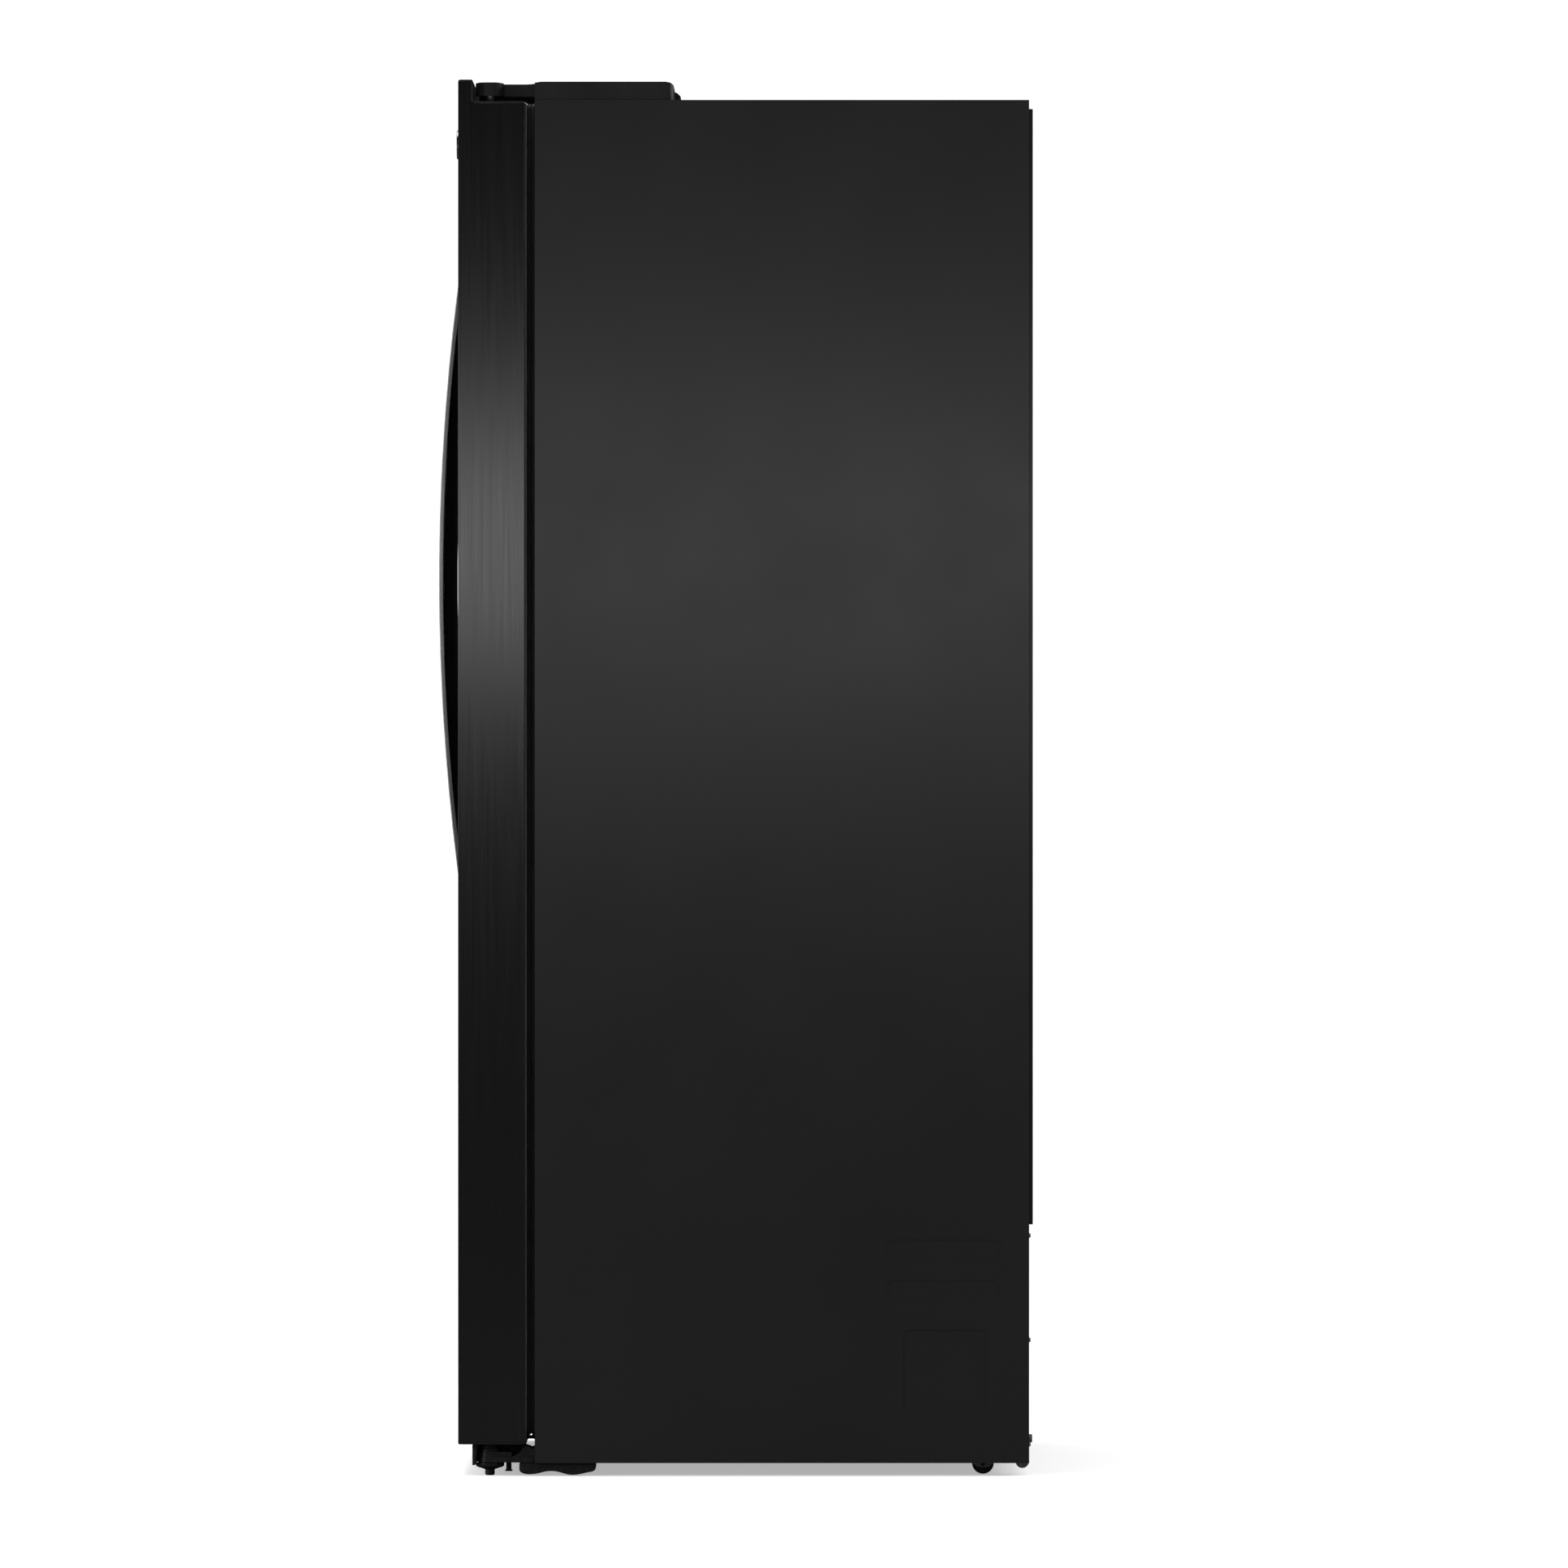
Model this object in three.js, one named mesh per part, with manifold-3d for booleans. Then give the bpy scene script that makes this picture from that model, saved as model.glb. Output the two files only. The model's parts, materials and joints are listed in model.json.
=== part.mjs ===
// A side-by-side refrigerator, counter depth: two full-height doors over a steel cabinet,
// freezer on the left and fresh food on the right as seen from the front.
// Millimetres, +Z up. X runs to the viewer's right, the doors face -Y, and Z = 0 is the floor.
import * as THREE from "three";
import { mergeVertices } from "three/addons/utils/BufferGeometryUtils.js";
import Module from "manifold-3d";

const wasm = await Module();
wasm.setup();

// ---------------------------------------------------------------- driving dimensions
const half = 456; // half of the 912 mm width
const caseFront = -251;
const caseRear = 381;
const caseBottom = 16.6;
const caseTop = 1759;
const rearFace = 386; // back of the raised rear panel
const doorFront = -349;
const doorRear = -264.5; // end of the steel door skin
const doorBottom = 40.5;
const doorTop = 1785; // top of the front lip
const recessFloor = 1757; // door top behind the lip, under the hinge covers
const lipRear = -330;
const sheet = 1.5; // modelled thickness of steel sheet
const linerWall = 2.5;
const gap = 0.3; // clearance between touching pieces
const split = -60; // middle of the gap between the doors
const doorGap = 4;
const axisX = 428; // hinge axis of the right door; the left one mirrors it
const axisY = -308.8;

// Storage compartments: insides of the liners.
const cabinZ = [112, 1700];
const cabinRear = 318;
const humpFront = 115; // the floor steps up here to clear the compressor
const humpTop = 385;
const freezerDrawerZ = [400, 620];
const crisperLowerZ = [400, 545];
const crisperUpperZ = [562, 730];
const sideInsulation = 50;
const mullionHalf = 25;
const freshX = [split + mullionHalf, half - sideInsulation];
const frozenX = [-half + sideInsulation, split - mullionHalf];

// Drawers stand well inside the hinge-side wall, so that they pass the edge of their open door.
const drawerPlay = 3;
const drawerSetIn = 36;
const freshDrawerX = [freshX[0] + drawerPlay, freshX[1] - drawerSetIn];
const frozenDrawerX = [frozenX[0] + drawerSetIn, frozenX[1] - drawerPlay];

// Machine compartment at the bottom rear.
const machineFront = 162;
const machineTop = 320;
const basePlateZ = 57;

// Handles: a bowed bar seen from the side as circular arcs with one radius.
const handleFront = -386;
const handleMidZ = 1153;
const handleRadius = 3016;
const handleHalf = 452;
const gripThickness = 5.9;
const webDepth = 17.3;
const handleWidth = 28;
const handleInset = 6; // from the inner edge of the door

// ---------------------------------------------------------------- shape helpers
const ARC_STEPS = 5; // segments per quarter-turn corner
const toYZ = new THREE.Matrix4().makeBasis(
  new THREE.Vector3(0, 1, 0),
  new THREE.Vector3(0, 0, 1),
  new THREE.Vector3(1, 0, 0),
);
const toXZ = new THREE.Matrix4().makeBasis(
  new THREE.Vector3(1, 0, 0),
  new THREE.Vector3(0, 0, 1),
  new THREE.Vector3(0, -1, 0),
);

// A closed geometry as a manifold-3d solid.
function solid(geometry) {
  const bare = geometry.index ? geometry.toNonIndexed() : geometry.clone();
  bare.deleteAttribute("normal");
  bare.deleteAttribute("uv");
  const merged = mergeVertices(bare, 1e-3);
  const vertProperties = merged.attributes.position.array;
  const triVerts = new Uint32Array(merged.index.array);
  return new wasm.Manifold(new wasm.Mesh({ numProp: 3, vertProperties, triVerts }));
}

function geometryOf(made) {
  const { vertProperties, triVerts } = made.getMesh();
  return new THREE.BufferGeometry()
    .setAttribute("position", new THREE.BufferAttribute(new Float32Array(vertProperties), 3))
    .setIndex(new THREE.BufferAttribute(new Uint32Array(triVerts), 1));
}

function join(first, ...others) {
  return geometryOf(others.reduce((sum, g) => sum.add(solid(g)), solid(first)));
}

function cut(first, ...tools) {
  return geometryOf(tools.reduce((rest, g) => rest.subtract(solid(g)), solid(first)));
}

function common(first, ...others) {
  return geometryOf(others.reduce((rest, g) => rest.intersect(solid(g)), solid(first)));
}

function outline(points) {
  return new THREE.Shape(points.map(([u, v]) => new THREE.Vector2(u, v)));
}

function roundedRect(u0, v0, u1, v1, r) {
  const shape = new THREE.Shape();
  shape.absarc(u1 - r, v0 + r, r, -Math.PI / 2, 0);
  shape.absarc(u1 - r, v1 - r, r, 0, Math.PI / 2);
  shape.absarc(u0 + r, v1 - r, r, Math.PI / 2, Math.PI);
  shape.absarc(u0 + r, v0 + r, r, Math.PI, 1.5 * Math.PI);
  return shape;
}

function ring(outer, inner) {
  outer.holes.push(inner);
  return outer;
}

function extrude(shape, depth, steps = ARC_STEPS) {
  return new THREE.ExtrudeGeometry(shape, { depth, bevelEnabled: false, curveSegments: steps });
}

// A shape drawn in (y, z), extruded along X.
const alongX = (shape, x0, x1, steps) =>
  extrude(shape, x1 - x0, steps).translate(0, 0, x0).applyMatrix4(toYZ);

// A shape drawn in (x, z), extruded along Y.
const alongY = (shape, y0, y1, steps) =>
  extrude(shape, y1 - y0, steps).translate(0, 0, -y1).applyMatrix4(toXZ);

// A shape drawn in (x, y), extruded along Z.
const alongZ = (shape, z0, z1, steps) => extrude(shape, z1 - z0, steps).translate(0, 0, z0);

function block(x0, x1, y0, y1, z0, z1) {
  return new THREE.BoxGeometry(x1 - x0, y1 - y0, z1 - z0).translate(
    (x0 + x1) / 2,
    (y0 + y1) / 2,
    (z0 + z1) / 2,
  );
}

// A body of revolution about the Z line through (x, y); profile is [radius, z] from the bottom up.
function turned(profile, x, y, sides = 24) {
  const points = profile.map(([r, z]) => new THREE.Vector2(r, z));
  return new THREE.LatheGeometry(points, sides)
    .rotateX(Math.PI / 2)
    .translate(x, y, 0);
}

const upright = (r, z0, z1, x, y, sides = 24) =>
  turned([[0, z0], [r, z0], [r, z1], [0, z1]], x, y, sides);

// ---------------------------------------------------------------- materials
const finish = (color, roughness, metalness) =>
  new THREE.MeshStandardMaterial({ color, roughness, metalness });
const look = {
  casePaint: finish(0x2b2c2e, 0.45, 0.3),
  doorSteel: finish(0x26272a, 0.3, 0.8),
  handleSteel: finish(0x55565a, 0.3, 0.9),
  blackPlastic: finish(0x0c0c0d, 0.45, 0),
  linerPlastic: finish(0xeceded, 0.35, 0),
  clearPlastic: finish(0xdfe8ec, 0.1, 0),
  shelfGlass: finish(0xcfe0e2, 0.05, 0),
  gasketRubber: finish(0x151516, 0.7, 0),
  wheelPlastic: finish(0x1b1b1c, 0.6, 0),
  zincSteel: finish(0x9a9c9f, 0.4, 0.9),
  hingeSteel: finish(0x2a2a2c, 0.45, 0.7),
  machinePaint: finish(0x111111, 0.5, 0.3),
  foam: finish(0xe8dcae, 0.95, 0),
  aluminium: finish(0xb9bcbf, 0.4, 0.9),
  brass: finish(0xb08d4a, 0.35, 0.9),
  panelGlass: finish(0x060607, 0.08, 0),
};

const fridge = new THREE.Group();

function part(name, geometry, material, parent = fridge) {
  const mesh = new THREE.Mesh(geometry, material);
  mesh.name = name;
  parent.add(mesh);
  return mesh;
}

// Pieces that stand at both front corners: one geometry, mirrored for the left.
function pair(name, geometry, material) {
  part(`${name}_right`, geometry, material);
  part(`${name}_left`, geometry, material).scale.x = -1;
}

// ---------------------------------------------------------------- cabinet
// Stiffening forms pressed into the side walls beside the machine compartment: [y0, z0, y1, z1, r].
const pressDepth = 0.9;
const pressings = [
  [199, 279, 344, 302, 9],
  [199, 227, 344, 250, 9],
  [220, 79, 327, 187, 9],
];

// Front face that the gaskets seal against, folded in from the walls, with the centre mullion.
function frontFace() {
  const face = roundedRect(-half + 1, caseBottom, half - 1, caseTop - 1, 2);
  face.holes.push(roundedRect(frozenX[0], cabinZ[0], frozenX[1], cabinZ[1], 14));
  face.holes.push(roundedRect(freshX[0], cabinZ[0], freshX[1], cabinZ[1], 14));
  return alongY(face, caseFront, caseFront + sheet, 3);
}

// Outer cabinet shell: two side walls, the top and the folded front face.
function cabinetWrapper() {
  const inner = half - sheet;
  const section = outline([
    [-half, caseBottom], [-inner, caseBottom], [-inner, caseTop - sheet], [inner, caseTop - sheet],
    [inner, caseBottom], [half, caseBottom], [half, caseTop], [-half, caseTop],
  ]);
  const forms = pressings.flatMap(([y0, z0, y1, z1, r]) => [
    alongX(roundedRect(y0, z0, y1, z1, r), half - pressDepth, half + 1, 4),
    alongX(roundedRect(y0, z0, y1, z1, r), -half - 1, -half + pressDepth, 4),
  ]);
  return cut(join(alongY(section, caseFront, caseRear), frontFace()), ...forms);
}

// Side outline of a compartment, grown outwards by d.
function cabinOutline(d, front) {
  return outline([
    [front, cabinZ[0] - d], [humpFront + d * 0.6, cabinZ[0] - d],
    [humpFront + 24 + d * 0.6, humpTop - d], [cabinRear + d, humpTop - d],
    [cabinRear + d, cabinZ[1] + d], [front, cabinZ[1] + d],
  ]);
}

const linerFront = caseFront + sheet + gap;

// Rails for a drawer with its bottom at z: a ledge under each side, and an upright guide
// where the drawer stands away from the wall.
function drawerRails([wall0, wall1], [low, high], z) {
  const lap = 7;
  const front = -105;
  const rear = cabinRear + 1;
  const rails = [
    block(wall0 - 1, low + lap, front, rear, z - 5, z - gap),
    block(high - lap, wall1 + 1, front, rear, z - 5, z - gap),
  ];
  if (low - wall0 > drawerPlay) rails.push(block(low - 6, low - 2, front, rear, z - 5, z + 60));
  if (wall1 - high > drawerPlay) rails.push(block(high + 2, high + 6, front, rear, z - 5, z + 60));
  return rails;
}

// One compartment's plastic liner with its drawer rails.
function liner([x0, x1], drawerX, drawerBottoms) {
  const shell = cut(
    alongX(cabinOutline(linerWall, linerFront), x0 - linerWall, x1 + linerWall),
    alongX(cabinOutline(0, linerFront - 10), x0, x1),
  );
  return join(shell, ...drawerBottoms.flatMap((z) => drawerRails([x0, x1], drawerX, z)));
}

function insulationFoam() {
  const inner = half - sheet - gap;
  const side = outline([
    [linerFront, basePlateZ + sheet + gap], [machineFront - gap, basePlateZ + sheet + gap],
    [machineFront - gap, machineTop + sheet + gap], [caseRear - gap, machineTop + sheet + gap],
    [caseRear - gap, caseTop - sheet - gap], [linerFront, caseTop - sheet - gap],
  ]);
  const grown = linerWall + gap;
  const hollows = [frozenX, freshX].map(([x0, x1]) =>
    alongX(cabinOutline(grown, linerFront - 10), x0 - grown, x1 + grown),
  );
  return cut(alongX(side, -inner, inner), ...hollows);
}

// Bent sheet under the foam: low at the front, stepped over the machine compartment.
function basePlate() {
  const inner = half - sheet - gap;
  const rear = caseRear - 5;
  const side = outline([
    [linerFront, basePlateZ], [machineFront + sheet, basePlateZ],
    [machineFront + sheet, machineTop], [rear, machineTop], [rear, machineTop + sheet],
    [machineFront, machineTop + sheet], [machineFront, basePlateZ + sheet],
    [linerFront, basePlateZ + sheet],
  ]);
  return alongX(side, -inner, inner);
}

// Rear rollers: the tray carries them, so both share these places.
const rollerY = 322.7;
const rollerRadius = 14;
const rollerX = 392;
const rollerWidth = 20;
const axleRadius = 3;
const skidRadius = 8.7;

const compressorFeet = [[-260, 215], [-90, 215], [-260, 335], [-90, 335]];

// Base frame: front cross member, side rails, and at the rear a tray that carries the
// compressor, the rear rollers and two rounded skids.
function baseFrame() {
  const inner = half - sheet - gap;
  const trayZ = 19;
  const bay = outline([
    [24 - inner, linerFront + 30], [inner - 24, linerFront + 30],
    [inner - 24, machineFront + 4], [24 - inner, machineFront + 4],
  ]);
  const sheetPlan = ring(roundedRect(-inner, linerFront, inner, caseRear - 5, 1), bay);
  const floor = alongZ(sheetPlan, trayZ, trayZ + 2, 1);
  const edge = inner - 1;
  const upstand = outline([
    [-edge, linerFront + 1], [edge, linerFront + 1], [edge, machineFront - 4],
    [edge - 2, machineFront - 4], [edge - 2, linerFront + 3], [2 - edge, linerFront + 3],
    [2 - edge, machineFront - 4], [-edge, machineFront - 4],
  ]);
  const forkX = rollerWidth / 2 + 1.5;
  const cheek = new THREE.Shape();
  cheek.moveTo(rollerY - 17, trayZ + 1);
  cheek.lineTo(rollerY - 8, 9);
  cheek.lineTo(rollerY + 8, 9);
  cheek.lineTo(rollerY + 17, trayZ + 1);
  cheek.lineTo(rollerY + 12, trayZ + 18);
  cheek.lineTo(rollerY - 12, trayZ + 18);
  cheek.holes.push(new THREE.Path().absarc(rollerY, rollerRadius, axleRadius + 0.4, 0, 2 * Math.PI));
  const wells = [];
  const cheeks = [];
  const skids = [];
  for (const side of [-1, 1]) {
    const x = side * rollerX;
    wells.push(block(x - forkX, x + forkX, rollerY - 18, rollerY + 18, trayZ - 1, trayZ + 3));
    for (const face of [-1, 1]) {
      const near = x + face * forkX;
      cheeks.push(alongX(cheek, Math.min(near, near + face * 2), Math.max(near, near + face * 2), 8));
    }
    const skid = new THREE.CylinderGeometry(skidRadius, skidRadius, 44, 20).rotateZ(Math.PI / 2);
    skids.push(skid.translate(side * 424, caseRear - skidRadius, trayZ - 0.5));
  }
  const stud = [[0, trayZ + 1], [8, trayZ + 1], [8, 27], [4, 27], [4, 36], [0, 36]];
  const studs = compressorFeet.map(([x, y]) => turned(stud, x, y, 8));
  const frame = join(floor, alongZ(upstand, trayZ + 1, basePlateZ - gap), ...skids);
  return join(cut(frame, ...wells), ...cheeks, ...studs);
}

function rearRoller() {
  const profile = [
    [0, -rollerWidth / 2 - 4], [axleRadius, -rollerWidth / 2 - 4], [axleRadius, -rollerWidth / 2],
    [rollerRadius - 2, -rollerWidth / 2], [rollerRadius, -rollerWidth / 2 + 2],
    [rollerRadius, rollerWidth / 2 - 2], [rollerRadius - 2, rollerWidth / 2],
    [axleRadius, rollerWidth / 2], [axleRadius, rollerWidth / 2 + 4], [0, rollerWidth / 2 + 4],
  ];
  return turned(profile, 0, 0, 24)
    .rotateY(Math.PI / 2)
    .translate(rollerX, rollerY, rollerRadius);
}

function rearPanel() {
  const ribs = [];
  for (let i = 0; i < 4; i++) {
    const z = 560 + i * 300;
    ribs.push(alongY(roundedRect(-330, z, 330, z + 34, 12), rearFace - 1.2, rearFace + 1, 3));
  }
  return cut(alongY(roundedRect(-440, 321, 440, 1748.4, 4), caseRear + gap, rearFace, 2), ...ribs);
}

// Lower rear cover with rows of air slots.
const inletX = 396;
const inletZ = 45.5;
const inletRadius = 5.2;

function compressorCover() {
  const inner = half - sheet - gap;
  const plate = alongY(roundedRect(-inner, 28, inner, machineTop - 1, 4), caseRear - 3, caseRear, 2);
  const slots = [];
  for (let row = 0; row < 3; row++) {
    for (let column = 0; column < 12; column++) {
      const x = -320 + column * 50;
      const z = 100 + row * 62;
      slots.push(block(x, x + 34, caseRear - 5, caseRear + 5, z, z + 8));
    }
  }
  const inletHole = new THREE.CylinderGeometry(inletRadius + 1.5, inletRadius + 1.5, 20, 16);
  return cut(plate, inletHole.translate(inletX, caseRear, inletZ), ...slots);
}

function compressor() {
  const profile = [
    [0, 32], [72, 32], [80, 40], [80, 112], [74, 132], [56, 150], [30, 158], [0, 160],
  ];
  const shell = turned(profile, -175, 275, 20);
  const foot = block(-270, -80, 205, 345, 27.3, 33.3);
  const holes = compressorFeet.map(([x, y]) => upright(5, 20, 50, x, y, 8));
  const terminalBox = block(-200, -150, 180, 210, 70, 120);
  return join(cut(foot, ...holes), shell, terminalBox);
}

// Finned pack standing across the air stream: a comb of plates on a solid back.
function condenser() {
  const pitch = 14;
  const finCount = 12;
  const bottom = 21.3; // just above the tray
  const comb = [[108, bottom]];
  for (let i = 0; i < finCount; i++) {
    const x = 108 + i * pitch;
    comb.push([x, 236], [x + 2, 236], [x + 2, 48], [x + pitch, 48]);
  }
  comb.push([108 + finCount * pitch, bottom]);
  const tubes = [];
  for (const [y, z] of [[277, 90], [277, 190]]) {
    const tube = new THREE.CylinderGeometry(4.5, 4.5, 170, 6).rotateZ(Math.PI / 2);
    tubes.push(tube.translate(188, y, z));
  }
  return join(alongY(outline(comb), 195, 360), ...tubes);
}

const fanX = 52;
const fanY = 277;
const fanZ = 140;

function fanShroud() {
  const wall = roundedRect(192, 21.5, 362, 236, 6);
  wall.holes.push(new THREE.Path().absarc(fanY, fanZ, 76, 0, 2 * Math.PI));
  const plate = alongX(wall, fanX + 12, fanX + 16, 8);
  const strut = block(fanX + 13, fanX + 16, fanY - 80, fanY + 80, fanZ - 6, fanZ + 6);
  const boss = new THREE.CylinderGeometry(12, 12, 6, 16).rotateZ(Math.PI / 2);
  return join(plate, strut, boss.translate(fanX + 15, fanY, fanZ));
}

function condenserFan() {
  const hub = new THREE.CylinderGeometry(20, 20, 18, 20).rotateZ(Math.PI / 2);
  const blades = [];
  const count = 5;
  for (let i = 0; i < count; i++) {
    const blade = new THREE.BoxGeometry(2.2, 52, 34).translate(0, 44, 0);
    const tilt = new THREE.Matrix4().makeRotationY(0.5);
    blades.push(blade.applyMatrix4(tilt).rotateX((i * 2 * Math.PI) / count));
  }
  return join(hub, ...blades).translate(fanX, fanY, fanZ);
}

// Solenoid water valve behind the cover, with its supply fitting through it.
function waterValve() {
  const body = block(inletX - 22, inletX + 22, 343, 372, 38, 86);
  const supply = new THREE.CylinderGeometry(inletRadius, inletRadius, rearFace - 365, 20);
  const nut = new THREE.CylinderGeometry(8, 8, 6, 6);
  const bracket = block(inletX - 16, inletX + 4, 345, 364, 21.3, 39);
  return join(
    body,
    supply.translate(inletX, (rearFace + 365) / 2, inletZ),
    nut.translate(inletX, 373.5, inletZ),
    bracket,
  );
}

// Toe grille under the doors: tapered strip with air slots, held by three arms.
function toeGrille() {
  const strip = outline([[-331, 13.5], [-327.5, 13.5], [-324.5, 39.5], [-331, 39.5]]);
  const arms = [-300, 0, 300].map((x) => block(x - 18, x + 18, -326, caseFront - gap, 26, 29));
  const slots = [];
  for (let i = 0; i < 16; i++) {
    const x = -375 + i * 50;
    slots.push(block(x - 17, x + 17, -340, -320, 18, 23.5));
  }
  return join(cut(alongX(strip, -446, 446), ...slots), ...arms);
}

// ---------------------------------------------------------------- hinges and feet
const legBore = 5.5;
const pinRadius = 6;

// Lower hinge: two stacked plates on a face flange between two webs, a cam boss, the door's
// pin, and an adjusting screw that hangs from the lower plate.
function lowerHinge() {
  const rearEdge = caseFront - gap;
  const plate = new THREE.Shape();
  plate.absarc(axisX, axisY, 16.6, -Math.PI, 0);
  plate.lineTo(axisX + 22, rearEdge - 20);
  plate.lineTo(axisX + 22, rearEdge);
  plate.lineTo(axisX - 60, rearEdge);
  plate.lineTo(axisX - 60, rearEdge - 12);
  plate.lineTo(axisX - 19, axisY + 16);
  const topPlate = new THREE.Shape();
  topPlate.absarc(axisX, axisY, 15.4, -Math.PI, 0);
  topPlate.lineTo(axisX + 15, axisY + 28);
  topPlate.lineTo(axisX - 15, axisY + 28);
  const gusset = new THREE.Shape();
  gusset.moveTo(axisY + 20, 22);
  gusset.quadraticCurveTo(axisY + 36, 24, axisY + 46, 39.6);
  gusset.lineTo(rearEdge, 33.5);
  gusset.lineTo(rearEdge, 18);
  const web = outline([
    [axisY + 9, 22], [axisY + 9, 39.8], [doorRear, 39.8], [rearEdge, 35], [rearEdge, 18],
  ]);
  const flange = alongY(roundedRect(axisX - 60, 18, axisX + 24, 35, 3), rearEdge - 3, rearEdge);
  const screw = [[0, 5.2], [4.7, 5.2], [4.7, 7], [3.4, 7.6], [3.4, 18], [0, 18]];
  return cut(
    join(
      alongZ(plate, 17, 23, 8),
      alongZ(topPlate, 22.9, 30.5, 8),
      alongX(gusset, axisX + 14, axisX + 20, 4),
      alongX(web, axisX - 19, axisX - 15),
      flange,
      turned(screw, axisX, axisY + 24.2, 16),
      turned(
        [[0, 30], [14.5, 30], [14.5, 34], [12.8, 35], [12.8, 39.6], [pinRadius, 39.6],
          [pinRadius, 59], [pinRadius - 2, 61], [0, 61]],
        axisX, axisY,
      ),
    ),
    upright(legBore, 10, 36, axisX, axisY),
  );
}

// Leveling leg: foot stub, broad knurled wheel and stud.
function levelingLeg() {
  const foot = turned(
    [[0, 0], [4.8, 0], [6.2, 1.6], [6.2, 7.5], [17, 11], [18.4, 13], [18.4, 16],
      [5.1, 16], [5.1, 33], [0, 33]],
    axisX, axisY, 20,
  );
  return foot;
}

// Wavy side plate that shields the front roller space: two lobes under the case edge.
const shieldFront = -270.8;
const shieldRear = -172.9;

function rollerShield() {
  const top = 16.2;
  const shape = new THREE.Shape();
  shape.moveTo(shieldFront, top);
  shape.lineTo(shieldFront, 8);
  shape.bezierCurveTo(shieldFront, 4.5, shieldFront + 5, 2, shieldFront + 13, 2);
  shape.bezierCurveTo(shieldFront + 26, 2, shieldFront + 30, 6.2, shieldFront + 41, 6.2);
  shape.bezierCurveTo(shieldFront + 52, 6.2, shieldFront + 58, 1.2, shieldFront + 68, 1.2);
  shape.bezierCurveTo(shieldFront + 77, 1.2, shieldFront + 84, 4.2, shieldRear - 7, 5);
  shape.quadraticCurveTo(shieldRear, 6, shieldRear, 11);
  shape.lineTo(shieldRear, top);
  const rail = block(axisX - 20, axisX + 22, caseFront + 3, shieldRear, top - 2, top);
  const inner = alongX(shape, axisX - 20, axisX - 17, 5);
  return join(alongX(shape, axisX + 18, axisX + 22, 5), rail, inner);
}

// Upper hinge: plate screwed to the case top, a raised arm over the door and the pin.
const armZ = [1766, 1770];

function upperHinge() {
  const arm = outline([
    [axisX - 11, axisY], [394, -262], [394, -243.3], [418, -243.3], [418, -299],
    [axisX, axisY + 4],
  ]);
  return join(
    alongZ(arm, armZ[0], armZ[1]),
    upright(12, armZ[0], armZ[1], axisX, axisY, 20),
    turned([[0, 1741], [4.2, 1741], [5.7, 1743], [5.7, 1767], [0, 1767]], axisX, axisY, 16),
    block(394, 418, -247, -243.3, caseTop + gap, armZ[1]),
    alongZ(roundedRect(348, -247, 440, -120, 8), caseTop + gap, caseTop + gap + 4),
    ...[[366, -225], [422, -225], [366, -140], [422, -140]].map(([x, y]) =>
      upright(7, caseTop + 4, caseTop + 9, x, y, 6),
    ),
  );
}

// Hinge cover: a hood over the plate, a waist that clears the door's swing, and a round cap.
const coverTop = 1782.6;
const coverArmBottom = 1764.7;
const skirtBottom = recessFloor + 1; // a skirt on the inner side closes the gap under the arm
const coverRear = -71.5;
const capRadius = 18.3;
const swingClear = 62; // the notch between cap and hood; the door's lip sweeps inside it

function hingeCover() {
  const waistX = axisX - 7;
  const outerX = 451;
  const capTurn = Math.acos(-7 / capRadius);
  const bodyAngle = Math.acos((outerX - axisX) / swingClear);
  const waistAngle = Math.acos(-7 / swingClear);
  const plan = new THREE.Shape();
  plan.absarc(axisX, axisY, capRadius, capTurn, -Math.PI * 0.88, true);
  plan.lineTo(384, -268);
  plan.quadraticCurveTo(380, -262, 372, -262);
  plan.lineTo(342, -262);
  plan.absarc(342, -250, 12, -Math.PI / 2, -Math.PI, true);
  plan.absarc(342, coverRear - 12, 12, Math.PI, Math.PI / 2, true);
  plan.absarc(outerX - 12, coverRear - 12, 12, Math.PI / 2, 0, true);
  plan.absarc(axisX, axisY, swingClear, bodyAngle, waistAngle, false);
  plan.lineTo(waistX, axisY + 17);
  const side = new THREE.Shape();
  side.moveTo(-332, skirtBottom);
  side.lineTo(-332, 1778);
  side.quadraticCurveTo(-328, 1782, -322, 1782);
  side.lineTo(-300, 1782);
  side.quadraticCurveTo(-294, 1782, -290, 1780.6);
  side.lineTo(-262, 1780.6);
  side.quadraticCurveTo(-252, 1781, -243, coverTop);
  side.lineTo(coverRear - 12, coverTop);
  side.quadraticCurveTo(coverRear - 1, 1782, coverRear - 1, 1774);
  side.lineTo(coverRear, caseTop + gap);
  side.lineTo(caseFront - 0.5, caseTop + gap);
  side.lineTo(caseFront - 0.5, skirtBottom);
  const outer = common(
    alongZ(plan, skirtBottom, 1790, 6),
    alongX(side, 320, 460, 3),
  );
  const inside = alongZ(roundedRect(333, -248.5, outerX - 2.5, coverRear - 3, 8), 1750, 1780, 3);
  const armRoom = outline([
    [412, -314], [389, -262], [389, -240], [418.7, -240], [418.7, -298], [436, -300], [436, -314],
  ]);
  return cut(
    outer,
    inside,
    block(412, 460, -312, caseFront - 0.5, 1750, coverArmBottom),
    block(416, 460, -340, -311, 1750, coverArmBottom),
    alongZ(armRoom, 1750, armZ[1] + 0.6),
    upright(12.8, 1750, armZ[1] + 0.6, axisX, axisY, 16),
  );
}

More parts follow.
